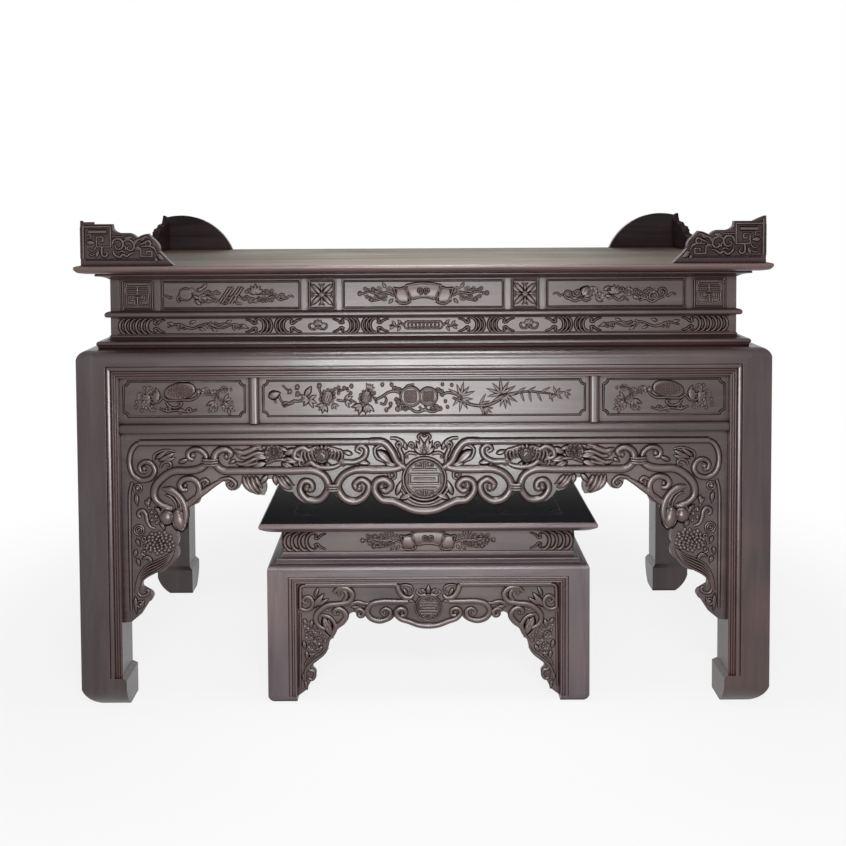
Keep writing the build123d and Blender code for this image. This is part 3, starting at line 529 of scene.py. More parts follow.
# A drawing function whose calls can also place what they draw
def motif(draw):
    def drawPlaced(*values, **place):
        start = len(sheet)
        draw(*values)
        sheet[start:] = placed(sheet[start:], **place)

    return drawPlaced


# A half and its mirror image
def bothSides(draw, *values, **place):
    start = len(sheet)
    draw(*values)
    sheet[start:] = placed(sheet[start:], **place)
    sheet.extend(placed(sheet[start:], side=-1))


# Stamps' own shapes
# A closed mound over an outline: halfWidth(u) for u from 0 to 1 along it, height(u, v) above it
def moundShape(kind, halfWidth, height, alongCount, acrossCount, outline, centred=False):
    shape = bmesh.new()
    rise = shape.verts.layers.float.new("rise")
    rows = []
    for i in range(alongCount + 1):
        u = i / alongCount
        row = []
        for j in range(acrossCount + 1):
            v = 2 * j / acrossCount - 1
            z = height(u, v)
            vert = shape.verts.new((u - 0.5 if centred else u, v * halfWidth(u), z))
            vert[rise] = min(0.6, z) if kind == "disc" else 0.3 + 0.7 * max(0.0, z)
            row.append(vert)
        rows.append(row)
    for near, far in zip(rows, rows[1:]):
        for j in range(acrossCount):
            shape.faces.new((near[j], far[j], far[j + 1], near[j + 1]))
    bmesh.ops.remove_doubles(shape, verts=shape.verts, dist=1e-4)
    border = [e for e in shape.edges if e.is_boundary]
    centre = 0.0 if centred else 0.5
    rimmed = 1.0
    for widen, level in ((1.0, 0.02), (outline, 0.02), (1.0, -0.25)):  # a flat rim, painted dark as shade by the finish, then the sunk edge
        skirt = bmesh.ops.extrude_edge_only(shape, edges=border)["geom"]
        for vert in [g for g in skirt if isinstance(g, bmesh.types.BMVert)]:
            vert.co.x = centre + (vert.co.x - centre) * widen / rimmed
            vert.co.y *= (widen / rimmed) ** 2
            vert.co.z = level
            vert[rise] = 0.0
        rimmed = widen
        border = [e for e in shape.edges if e.is_boundary]
    bmesh.ops.holes_fill(shape, edges=[e for e in shape.edges if e.is_boundary])
    bmesh.ops.recalc_face_normals(shape, faces=shape.faces)
    mesh = bpy.data.meshes.new(kind + "Stamp")
    shape.to_mesh(mesh)
    shape.free()
    for face in mesh.polygons:
        face.use_smooth = True
    template = bpy.data.objects.new(kind + "Stamp", mesh)
    bpy.context.scene.collection.objects.link(template)
    return template


def leafWidth(u):
    return 0.5 * max(0.0, math.sin(math.pi * u ** 0.8)) ** 0.85


def leafHeight(u, v):
    edge = max(0.0, 1 - v * v)
    vein = math.exp(-((v / 0.22) ** 2))
    return math.sin(math.pi * min(1.0, u * 0.9 + 0.08)) ** 0.5 * (0.25 + 0.75 * edge ** 0.7 - 0.42 * vein)


def petalWidth(u):
    return 0.5 * max(0.0, math.sin(math.pi * u ** 1.5)) ** 0.6


def petalHeight(u, v):
    return (0.35 + 0.65 * u) * (0.30 + 0.70 * v * v) if 0 < u < 1 else 0.3


def domeWidth(u):
    return math.sqrt(max(0.0, u * (1 - u)))


def roundReach(u, v):
    return (2 * u - 1) ** 2 + v * v * (1 - (2 * u - 1) ** 2)


def domeHeight(u, v):
    return math.sqrt(max(0.0, 1 - min(1.0, roundReach(u, v))))


def discHeight(u, v):
    return 1.0 if roundReach(u, v) < 0.93 else 0.85


stampShapes = {
    "leaf": moundShape("leaf", leafWidth, leafHeight, 7, 6, 1.16),
    "petal": moundShape("petal", petalWidth, petalHeight, 5, 4, 1.16),
    "berry": moundShape("berry", domeWidth, domeHeight, 6, 6, 1.13, True),
    "disc": moundShape("disc", domeWidth, discHeight, 16, 10, 1.05, True),
}
stampKinds = list(stampShapes)


# The tree that carves: edges become rounded bands, loose points become stamps
def carvingTree():
    tree = bpy.data.node_groups.new("carving", "GeometryNodeTree")
    sockets = [("Drawing", "Geometry"), ("Points Round", "Int"), ("Sink", "Float"), ("Outline", "Float")]
    sockets += [(kind, "Object") for kind in stampKinds] + [("Finish", "Material")]
    for name, kind in sockets:
        tree.interface.new_socket(name, in_out="INPUT", socket_type="NodeSocket" + kind)
    tree.interface.new_socket("Carving", in_out="OUTPUT", socket_type="NodeSocketGeometry")
    given = addNode(tree, "NodeGroupInput").outputs
    shade = shaderMaker(tree)

    def make(kind, inputs=None, **settings):
        return addNode(tree, "GeometryNode" + kind, inputs, **settings).outputs[0]

    def attribute(name, kind="FLOAT"):
        return make("InputNamedAttribute", {"Name": name}, data_type=kind)

    def store(geometry, name, value, kind="FLOAT"):
        return make("StoreNamedAttribute", {"Geometry": geometry, "Name": name, "Value": value},
                    data_type=kind, domain="POINT")

    def maths(operation, first, second=0.0, **settings):
        return shade("Math", {0: first, 1: second}, operation=operation, **settings)

    def chosen(factor, first, second):
        return shade("Mix", {0: factor, 2: first, 3: second})

    # bands: the outermost point on each side is sunk in the board, the next makes a flat outline, painted
    # dark by the finish as the shade round the carving
    spot = make("InputPosition")
    lines = store(make("MeshToCurve", {"Mesh": given["Drawing"]}), "centre", spot, "FLOAT_VECTOR")
    lines = make("SetCurveNormal", {"Curve": lines}, mode="Z_UP")
    index = make("InputIndex")
    last = maths("SUBTRACT", given["Points Round"], 1.0)
    part = maths("DIVIDE", maths("SUBTRACT", index, 2.0), maths("SUBTRACT", last, 4.0), use_clamp=True)
    angle = maths("MULTIPLY", part, math.pi)
    halfRound = shade("CombineXYZ", {0: maths("COSINE", angle), 1: maths("SINE", angle)})
    arc = make("CurveArc", {"Resolution": given["Points Round"]}, mode="RADIUS")
    ring = make("SetPosition", {"Geometry": arc, "Position": halfRound})
    ring = store(ring, "row", maths("MINIMUM", index, maths("SUBTRACT", last, index)))
    ring = make("SetSplineCyclic", {"Geometry": ring, "Cyclic": True})
    for axis, name in enumerate(("across", "height")):
        ring = store(ring, name, shade("SeparateXYZ", {0: spot}, axis))
    halfWidth, base, row = attribute("halfWidth"), attribute("base"), attribute("row")
    swept = make("CurveToMesh", {"Curve": lines, "Profile Curve": ring, "Scale": halfWidth,
                                 "Fill Caps": True})
    dip = shade("MapRange", {0: maths("ABSOLUTE", attribute("across")), 1: 0.0, 2: 0.55, 3: 1.0, 4: 0.0},
                interpolation_type="SMOOTHSTEP")
    kept = maths("SUBTRACT", 1.0, maths("MULTIPLY", dip, attribute("groove")))
    up = maths("MULTIPLY", maths("MULTIPLY", attribute("height"), halfWidth), attribute("lift"))
    top = maths("ADD", maths("MULTIPLY", up, kept), base)
    above = maths("GREATER_THAN", row, 1.5)
    edge = maths("ADD", maths("MULTIPLY", base, 0.6), 0.12)
    below = maths("MULTIPLY", given["Sink"], -1.0)
    level = chosen(maths("LESS_THAN", row, 0.5), chosen(above, edge, top), below)
    centre = attribute("centre", "FLOAT_VECTOR")
    flat = shade("VectorMath", {0: shade("VectorMath", {0: spot, 1: centre}, operation="SUBTRACT"),
                                1: (1, 1, 0)}, operation="MULTIPLY")
    outward = shade("VectorMath", {0: flat}, operation="NORMALIZE")
    wide = maths("ADD", maths("ADD", halfWidth, attribute("rim")), given["Outline"])
    outer = shade("VectorMath", {0: outward, "Scale": wide}, operation="SCALE")
    reach = shade("Mix", {0: above, 4: outer, 5: flat}, 1, data_type="VECTOR")
    across = shade("VectorMath", {0: centre, 1: reach}, operation="ADD")
    sides = [shade("SeparateXYZ", {0: across}, axis) for axis in (0, 1)]
    bands = make("SetPosition", {
        "Geometry": swept, "Position": shade("CombineXYZ", {0: sides[0], 1: sides[1], 2: level}),
    })
    # rise: 0 at each band's foot and rim, where the finish paints shade, up to 1 at the crest
    bands = store(bands, "rise", maths("MULTIPLY", maths("MAXIMUM", attribute("height"), 0.0), kept))

    # stamps
    together = addNode(tree, "GeometryNodeJoinGeometry")
    tree.links.new(bands, together.inputs[0])
    spots = make("MeshToPoints", {"Mesh": given["Drawing"]})
    aim = shade("CombineXYZ", {2: attribute("turn")})
    for number, kind in enumerate(stampKinds):
        ownKind = addNode(tree, "FunctionNodeCompare", {0: attribute("kind"), 1: number + 1.0},
                          operation="EQUAL", data_type="FLOAT").outputs[0]
        shape = addNode(tree, "GeometryNodeObjectInfo", {"Object": given[kind]}).outputs["Geometry"]
        stamps = make("InstanceOnPoints", {"Points": spots, "Selection": ownKind, "Instance": shape,
                                           "Rotation": aim, "Scale": attribute("size", "FLOAT_VECTOR")})
        tree.links.new(stamps, together.inputs[0])
    done = make("RealizeInstances", {"Geometry": together.outputs[0]})
    done = make("SetShadeSmooth", {"Geometry": done})
    done = make("SetMaterial", {"Geometry": done, "Material": given["Finish"]})
    for name in ("centre", "across", "height", "row"):
        done = make("RemoveAttribute", {"Geometry": done, "Name": name})
    addNode(tree, "NodeGroupOutput", {0: done})
    return tree


carver = carvingTree()


# The flat drawing as edges and loose points with their sizes as attributes
def drawingMesh(items):
    verts, edges, values = [], [], []
    for kind, *item in items:
        if kind == "stroke":
            path, widths, lift, groove, base, rim = item
            start = len(verts)
            verts += [(p.x, p.y, 0) for p in path]
            edges += [(start + i, start + i + 1) for i in range(len(path) - 1)]
            values += [(w, lift, groove, base, 0.0, 0.0, rim, (1, 1, 1)) for w in widths]
        else:
            shape, place, aim, width, lift = item
            verts.append((place.x, place.y, 0))
            turn = math.atan2(aim.y, aim.x)
            values.append((0, 0, 0, 0, stampKinds.index(shape) + 1.0, turn, 0, (aim.length, width, lift)))
    mesh = bpy.data.meshes.new("drawing")
    mesh.from_pydata(verts, edges, [])
    for index, name in enumerate(("halfWidth", "lift", "groove", "base", "kind", "turn", "rim")):
        layer = mesh.attributes.new(name, "FLOAT", "POINT")
        layer.data.foreach_set("value", [v[index] for v in values])
    sizes = mesh.attributes.new("size", "FLOAT_VECTOR", "POINT")
    sizes.data.foreach_set("vector", [c for v in values for c in v[7]])
    return mesh


# Runs the tree over one drawing and returns a plain mesh
def carvedMesh(items, pointsRound, outline, material):
    drawing = bpy.data.objects.new("drawing", drawingMesh(items))
    bpy.context.scene.collection.objects.link(drawing)
    modifier = drawing.modifiers.new("carving", "NODES")
    modifier.node_group = carver
    given = {"Points Round": pointsRound, "Sink": carvingSetup["sink"], "Outline": outline,
             "Finish": material}
    given.update(stampShapes)
    for item in carver.interface.items_tree:
        if item.item_type == "SOCKET" and item.in_out == "INPUT" and item.name in given:
            modifier[item.identifier] = given[item.name]
    result = bpy.data.meshes.new_from_object(drawing.evaluated_get(bpy.context.evaluated_depsgraph_get()))
    bpy.data.objects.remove(drawing)
    return result


outwardOf = {"front": (0, -1), "left": (-1, 0), "right": (1, 0)}


# The sheet's zero on a board's face, reach metres out from centre: x runs along the board as seen from
# outside, and z outward
def boardMatrix(side, reach, top, centre):
    out = Vector((*outwardOf[side], 0))
    up = Vector((0, 0, 1))
    turn = Matrix((up.cross(out), up, out)).transposed().to_4x4()
    return Matrix.Translation(Vector((*centre, top)) + out * reach) @ turn @ Matrix.Scale(mm, 4)


# Carves what is on the sheet and clears it. Fine and broad strokes get their own roundness.
def carve(name, side, reach, top, finish, outline, centre=(0.0, 0.0)):
    parts = {True: [], False: []}
    for item in placed(sheet, down=-1):
        parts[item[0] == "stroke" and max(item[2]) >= carvingSetup["boldWidth"]].append(item)
    sheet.clear()
    material = wood(finish, "X" if side == "front" else "Y", True)
    pieces = []
    for broad, pointsRound in ((True, carvingSetup["boldSides"]), (False, carvingSetup["fineSides"])):
        if parts[broad]:
            part = bpy.data.objects.new(name, carvedMesh(parts[broad], pointsRound, outline, material))
            bpy.context.scene.collection.objects.link(part)
            pieces.append(part)
    whole = pieces[0]
    if len(pieces) > 1:
        with bpy.context.temp_override(active_object=whole, selected_editable_objects=pieces):
            bpy.ops.object.join()
    whole.name = name
    whole.data.transform(boardMatrix(side, reach, top, centre))
    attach(whole, "offering_table" if name.startswith("low_") else "altar_table")
    print("carved", name, len(whole.data.polygons), "faces")


# Aprons of the altar table
# x from the left leg's inner face, y down from the apron's top
apronSetup = {
    "reach": 0.492,  # of the board's face, from the table's middle
    "endReach": 0.942,
    "top": 0.781,
    "middle": 855.0,
    "endMiddle": 405.0,
    "rod": 11.0,  # half width of the broad scrolls
    "topRod": 9.5,
    "volute": 7.4,
    "curl": 8.0,
    "line": 5.0,
    "groove": 0.12,
    "outline": 1.5,  # width of the flat rim round the carving, painted dark as its shade
}


def broadStroke(points, lift=0.95, taper=(0.75, 0.7)):
    stroke(points, apronSetup["rod"], lift, taper, apronSetup["groove"])


def curlStroke(points, lift=0.9, taper=(0.6, 0.6), groove=0.2, widen=0.0):
    stroke(points, apronSetup["curl"] + widen, lift, taper, groove)


def cornerScroll(rodEnd):
    volute, groove = apronSetup["volute"], apronSetup["groove"]
    stroke([(rodEnd, 26), (300, 26), (100, 26), (52, 26)], apronSetup["topRod"], 0.95, (1.0, 0.9), groove)
    stroke([(66, 25), (42, 32), (27, 54), (24, 92), (36, 120), (58, 132), (83, 126), (95, 106), (86, 86),
            (67, 80), (52, 92), (56, 108), (68, 108)], volute, 1.0, (0.8, 0.75), groove)
    berry(65, 99, 15, 9)
    stroke([(30, 138), (23, 165), (21, 242), (21, 400), (21, 506)], 4.2, 0.95, (1.0, 0.8))


def rodEnd():
    broadStroke([(700, 25), (742, 29), (764, 54), (778, 82), (801, 101)], 0.95, (0.9, 0.8))
    stroke([(752, 84), (722, 72), (716, 46), (738, 33)], 5, 0.9, (0.6, 0.6))
    each(leaf, [(722, 52, 42, 58, 26, 7), (744, 88, 12, 44, 16, 5)])


def tiedLeft():
    stroke([(204, 74), (192, 70), (189, 57), (202, 46), (222, 47), (238, 61), (241, 78)],
           apronSetup["volute"], 1.0, (0.7, 1.0), apronSetup["groove"])
    broadStroke([(241, 74), (236, 90), (218, 101), (190, 106), (149, 107), (118, 124), (95, 152), (93, 182),
                 (112, 203), (142, 215)])
    berry(203, 62, 16, 9)


# The band that ties two scrolls back to back
def ties(x, y, half=23, sag=2):
    for level in (y - 6, y + 1, y + 8):
        stroke([(x - half, level), (x, level + sag), (x + half, level)], 4.2, 1.6, (0.6, 0.6), base=8)


def firstScroll():
    broadStroke([(302, 68), (311, 56), (291, 45), (268, 56), (264, 80), (284, 104), (328, 107), (400, 107),
                 (480, 107), (546, 108), (575, 126), (584, 157), (560, 190), (523, 188), (504, 160),
                 (514, 138), (535, 142), (537, 161), (522, 160)], 1.0, (0.7, 0.75))
    each(berry, [(297, 66, 16, 9), (523, 157, 20, 14)])
    ties(252, 79)


def secondScroll():
    broadStroke([(792, 98), (770, 104), (720, 106), (655, 107), (622, 126), (610, 154), (629, 187),
                 (661, 196), (692, 175), (697, 147), (676, 134), (658, 149), (668, 163)], 1.0, (0.8, 0.75))
    berry(671, 158, 20, 14)
    ties(597, 154, 17, 1)


def centralLeaves():
    berry(763, 121, 15, 8)
    swirl(763, 121, 12, 90, -1.0, 3.5, 1.2, (1.0, 1.0), inner=0.6)
    each(leaf, [(786, 190, -24, 46, 16, 6), (776, 178, -70, 44, 15, 6)])


# The seed head between scalloped lobes
@motif
def seedHead():
    berry(0, 0, 40, 11)
    for reach, count, size in ((0.0, 1, 13), (13, 7, 10)):
        for i in range(count):
            angle = 2 * math.pi * i / count
            berry(reach * math.cos(angle), reach * math.sin(angle), size, 15)
    each(leaf, [(0, 20, 90, 24, 12, 7), (0, -16, -90, 20, 10, 6)])
    bothSides(seedHeadHalf)


def seedHeadHalf():
    for i in range(4):
        away, low = 13 + 10 * i, 3 * i
        stroke([(away * 0.7, low - 14), (away + 3, low - 25), (away + 12, low - 22), (away + 15, low - 9),
                (away + 9, low + 8)], 4.2, 1.1, (0.6, 0.7))
    swirl(56, 18, 10, 90, -1.1, 4.2, 1.1, (0.7, 0.6))
    each(leaf, [(12, 18, 56, 24, 12, 7), (5, -16, -56, 20, 10, 6)])


# Peonies, curling leaves and the great seed head between the broad scrolls
def apronFoliage():
    line = apronSetup["line"]
    curlStroke([(610, 86), (632, 84), (661, 83), (687, 68), (690, 45), (674, 37), (664, 49), (676, 56)])
    curlStroke([(532, 52), (512, 42), (492, 51), (489, 70), (503, 75), (508, 61)], 0.9, (0.8, 0.6))
    curlStroke([(520, 92), (534, 84), (546, 92), (562, 98), (597, 98), (618, 90)], 1.0)
    berry(502, 64, 11, 7)
    seedHead(x=566, y=66)
    each(leaf, [(700, 88, -170, 44, 16, 5), (652, 62, 200, 30, 13, 5)])

    for radius, petals, turn, rise in ((27, 8, 8, 8), (19, 7, 40, 10), (11, 5, 0, 12)):
        flower(431, 56, radius, petals, turn, rise)
    each(leaf, [(408, 84, 160), (412, 70, 190), (456, 74, 12), (460, 60, -20), (404, 46, 200), (452, 86, 24)],
         42, 19, 6)
    stroke([(408, 88), (431, 76), (471, 79), (494, 91)], line, 0.9, (0.4, 0.4))
    curlStroke([(318, 48), (340, 56), (362, 50), (380, 42), (406, 42)], 0.85, (0.4, 0.6))
    stroke([(330, 66), (350, 70), (368, 62), (386, 56), (404, 58)], 6, 0.9, (0.4, 0.6))
    stroke([(322, 84), (342, 88), (362, 80), (380, 72), (400, 74)], 6, 0.9, (0.4, 0.5))
    stroke([(344, 94), (364, 90), (386, 86), (404, 92)], line, 0.9, (0.4, 0.4))
    each(leaf, [(322, 76, 150, 22, 11, 5), (344, 70, -150, 26, 11, 5), (470, 50, -160, 28, 12, 5),
                (482, 50, 35, 28, 12, 5)])

    # the hanging leaves under the lower rod
    for shift, length in ((0, 1.0), (11, 1.08), (23, 1.0), (34, 0.72)):
        stroke([(343 + shift, 121), (350 + shift, 121 + 24 * length), (366 + shift * 0.8, 121 + 42 * length),
                (384 + shift * 0.45, 121 + 50 * length)], 7.5, 1.0, blade=True)
    for shift, length in ((0, 1.0), (10, 0.95), (20, 0.7)):
        stroke([(438 + shift, 121), (448 + shift, 121 + 18 * length), (462 + shift * 0.8, 121 + 33 * length),
                (478 + shift * 0.5, 121 + 40 * length)], 6.5, 1.0, blade=True)
    each(leaf, [(412, 120, 130, 34, 14, 5), (432, 120, 80, 30, 14, 5)])
    strokes([
        [(276, 132), (307, 129), (323, 146), (310, 158), (299, 147), (309, 141)],
        [(222, 138), (236, 131), (245, 141), (234, 147)],
    ], line, 1.0, (0.7, 0.6))
    curlStroke([(160, 219), (200, 190), (247, 155), (284, 132)], 0.8, (0.8, 0.5), 0.3)
    curlStroke([(186, 160), (172, 160), (164, 147), (173, 133), (194, 128), (213, 138), (220, 158),
                (208, 186), (184, 208)], 0.95, widen=0.5)
    berry(180, 148, 12, 8)
    cornerCloud()


# A winged leaf and a curl in the corner
def cornerCloud():
    stroke([(92, 78), (93, 62), (110, 51), (134, 47), (153, 52)], 3.0, 1.1, (0.6, 0.5))
    each(leaf, [(98, 72, -36, 40), (106, 78, -26, 44), (118, 82, -22, 36), (124, 70, -30, 30)], 12, 4)
    stroke([(110, 98), (116, 85), (131, 80), (141, 88), (136, 98), (127, 95)], 3.6, 1.1, (0.7, 0.6))
    leaf(162, 84, -24, 30, 13, 5)


# The bracket below the corner: a gourd and a peach, a cluster of seeds, and waves
def apronBracket():
    curlStroke([(116, 157), (143, 163), (164, 180), (177, 206), (180, 232), (175, 254)], 1.0, (0.4, 1.0),
               widen=1.5)
    stamp("berry", 161, 247, 16, 64, 40, 15)
    stroke([(122, 174), (138, 180), (151, 196), (156, 216)], 3.4, 1.1, (0.5, 0.5))
    stroke([(126, 166), (148, 176), (164, 198), (168, 222)], 2.6, 1.1, (0.5, 0.5), base=4)
    berry(126, 238, 42, 15)
    stroke([(112, 224), (120, 212), (136, 214)], 3.6, 1.2, (0.6, 0.6), base=5)
    each(leaf, [(104, 214, 80), (92, 210, 40), (108, 252, 60)], 26, 12, 6)
    for x, y, size in ((84, 224, 13), (96, 236, 12), (84, 246, 12), (98, 254, 11), (76, 212, 9)):
        berry(x, y, size, size * 0.6)
    stroke([(53, 238), (46, 233), (48, 222), (58, 219), (67, 228), (70, 246), (78, 264), (94, 272)], 5.6, 1.0,
           (0.6, 0.5), 0.2)
    each(ringStroke, [(47, 275, 14, 2.6), (47, 275, 8, 2.2)], 1.2, 0.0, 16)
    berry(47, 275, 9, 7)
    # the cluster
    grapes(104, 312, 84, 64, 11.5, 4.5)
    each(swirl, [(62, 300), (66, 322), (60, 340)], 8, 60, 1.2, 2.4, 1.2, (0.7, 0.6))
    each(leaf, [(40, 300, 70), (38, 330, 100), (76, 350, 160), (72, 350, 60), (40, 356, 70), (66, 190, 60),
                (78, 182, 100)], 24, 11, 5)
    berry(45, 155, 15, 9)
    each(ringStroke, [(45, 155, 11, 2.6), (47, 488, 9, 2.4)], 1.2, 0.0, 14)
    leaf(40, 172, 84, 34, 12, 4)
    # waves that sweep down to the tip
    for i in range(5):
        stroke([(146 - i, 334 + 3 * i), (122, 351 + 6 * i), (94, 364 + 7.5 * i), (68, 376 + 8 * i),
                (49, 397 + 7 * i), (37 + 1.5 * i, 428 + 4 * i), (33 + 2 * i, 456)], 2.1, 1.3, (0.7, 0.5))
    stroke([(40, 452), (48, 463), (62, 463), (72, 454), (69, 446), (61, 450)], 4.0, 1.0, (0.6, 0.6))
    berry(47, 488, 8, 5)
    each(leaf, [(33, 466, 86, 50, 11, 5), (58, 476, 118, 30, 10, 4)])


# A round seal with a plain fret of squared lines, alike left and right and top and bottom
@motif
def seal(radius):
    each(ringStroke, [(0, 0, radius, radius * 0.055), (0, 0, radius * 0.86, radius * 0.04)], 1.4, 2, 36)
    stamp("disc", 0, 0, radius * 1.9, 0, radius * 1.9, 3.2)
    fret = [[(-0.50, 0), (0.50, 0)]]
    for up in (-1, 1):
        fret += [[(-0.70, up * 0.22), (0.70, up * 0.22)], [(-0.58, up * 0.44), (0.58, up * 0.44)],
                 [(up * 0.70, -0.22), (up * 0.70, 0.22)], [(0, up * 0.44), (0, up * 0.80)]]
        for side in (-1, 1):
            hook = [(0.16, 0.76), (0.16, 0.60), (0.40, 0.60), (0.40, 0.72), (0.30, 0.72)]
            fret.append([(side * u, up * v) for u, v in hook])
    for points in fret:
        stroke([(u * radius, v * radius) for u, v in points], radius * 0.048, 1.5, straight=True, base=3)


# The lowest rod runs from volute to volute under the seal
def sweptRod(half, width, taper=0.6):
    whole = half + [(-x, y) for x, y in reversed(half[:-1])]
    stroke(whole, width, 0.95, (taper, taper), 0.12)


def apronCrown():
    berry(121, 153, 19, 14)
    each(leaf, [(3, 62, -36, 34, 15, 6), (3, 62, -62, 42, 15, 6), (3, 62, -80, 48, 15, 6),
                (50, 50, -70, 30, 11, 5)])
    stroke([(20, 62), (42, 58), (52, 66), (46, 74)], 4.5, 1.0, (0.7, 0.6))
    stroke([(12, 22), (17, 12), (8, 6), (0, 12)], 3.6, 1.1, (0.6, 0.8))
    swirl(38, 36, 9, 90, 1.2, 3.4, 1.1, (0.7, 0.6))
    stroke([(60, 90), (62, 66), (70, 44), (60, 30), (78, 18), (96, 16)], 6, 0.9, (0.6, 0.6))
    swirl(70, 34, 9, 90, -1.2, 3.4, 1.2, (0.7, 0.6), 3)


def apronMiddle():
    seal(60, y=132)
    sweptRod([(-124, 156), (-110, 167), (-95, 152), (-109, 135), (-134, 139), (-141, 164), (-119, 192),
              (-90, 196), (-66, 206), (-34, 220), (0, 225)], apronSetup["rod"], 0.75)
    arc = [(71 * math.cos(math.radians(a)), 132 + 71 * math.sin(math.radians(a))) for a in range(20, 161, 10)]
    stroke([(58, 146)] + arc + [(-58, 146)], 4.5, 1.0, (0.6, 0.6))
    bothSides(apronCrown)
    each(berry, [(0, 54, 19), (0, 38, 12), (0, 8, 12)], 11)


@motif
def apronHalf():
    cornerScroll(713)
    for draw in (rodEnd, tiedLeft, firstScroll, secondScroll, centralLeaves, apronFoliage, apronBracket):
        draw()


def endApronHalf():
    cornerScroll(405)
    tiedLeft()
    broadStroke([(302, 68), (311, 56), (291, 45), (268, 56), (264, 80), (280, 101), (306, 106), (328, 124),
                 (330, 148), (312, 160), (297, 150), (304, 138)], 0.95, (0.7, 0.6))
    berry(297, 66, 16, 9)
    ties(252, 78)
    curlStroke([(330, 50), (350, 56), (366, 48), (378, 58)], 0.85, (0.5, 0.6), 0.3)
    each(leaf, [(338, 62, 40), (372, 60, 10), (336, 88, 20), (344, 178, 30)], 34, 14, 5)
    cornerCloud()
    apronBracket()


def endApronLeaves():
    leaf(8, 60, -38, 34, 14, 6)
    stroke([(14, 60), (36, 52), (44, 34), (30, 26)], 5, 0.9, (0.8, 0.6))


def carveApron(name, side, reach):
    carve(name, side, apronSetup[reach], apronSetup["top"], "carvedAprons", apronSetup["outline"])


def carveAprons():
    middle = apronSetup["middle"]
    apronHalf(x=-middle)
    apronMiddle()
    carveApron("front_apron_carving_left", "front", "reach")
    apronHalf(x=middle, side=-1)
    carveApron("front_apron_carving_right", "front", "reach")
    for side in ("left", "right"):
        bothSides(endApronHalf, x=-apronSetup["endMiddle"])
        seal(58, y=132)
        sweptRod([(-155, 158), (-143, 172), (-115, 186), (-83, 194), (-50, 212), (-24, 222), (0, 225)],
                 apronSetup["rod"])
        leaf(0, 62, -90, 44, 22, 8)
        bothSides(endApronLeaves)
        carveApron(side + "_apron_carving", side, "endReach")


# Waist: upper panels, tiles and friezes
waistSetup = {
    "panelReach": 0.438,
    "endPanelReach": 0.888,
    "panelMiddle": 1.167,
    "pictureScale": 1.12,
    "borderMargin": 14,  # from a picture's half width to its border
    "borderHalfHeight": 38,
    "endBorder": 380,
    "line": 1.0,
    "friezeReach": 0.442,
    "endFriezeReach": 0.892,
    "friezeMiddle": 1.079,
    "friezeLevel": 23.5,  # of the long lines, from the frieze's middle
    "friezeHalf": 872,
    "endFriezeHalf": 422,
    "outline": 1.7,
}


# A border with its corners turned inwards, round the point 0, 0
def borderLine(halfWidth, halfHeight, corner, width):
    corners = []
    for sx, sy in ((-1, -1), (1, -1), (1, 1), (-1, 1)):
        turned = []
        for i in range(6):
            angle = math.pi / 2 * i / 5
            turned.append((sx * (halfWidth - corner * math.sin(angle)),
                           sy * (halfHeight - corner * math.cos(angle))))
        corners += turned if sx * sy > 0 else turned[::-1]
    stroke(corners + corners[:1], width, 0.9, straight=True, rim=0.9)


def plainBorder(halfWidth, halfHeight, width):
    loop = [(-halfWidth, -halfHeight), (halfWidth, -halfHeight), (halfWidth, halfHeight),
            (-halfWidth, halfHeight)]
    strokes(zip(loop, loop[1:] + loop[:1]), width, 0.9, straight=True, rim=0.6)


# A cloud of small curls
def cloud(x, y, size, side=1, width=1.8):
    for dx, dy, radius, start in ((0, 0, 0.5, 200), (-0.62, 0.25, 0.36, 160), (0.62, 0.22, 0.36, 260)):
        swirl(x + side * size * dx, y + size * dy, size * radius, start if side > 0 else 180 - start,
              1.1 * side, width)


# A curling tendril that runs from x, y
def tendril(x, y, length, side):
    shape = ((0, 0), (0.25, 0.16), (0.5, -0.08), (0.78, -0.12), (1, 0.05))
    stroke([(x + side * length * u, y + length * v) for u, v in shape], 1.7, 1.0, (1.0, 0.3))


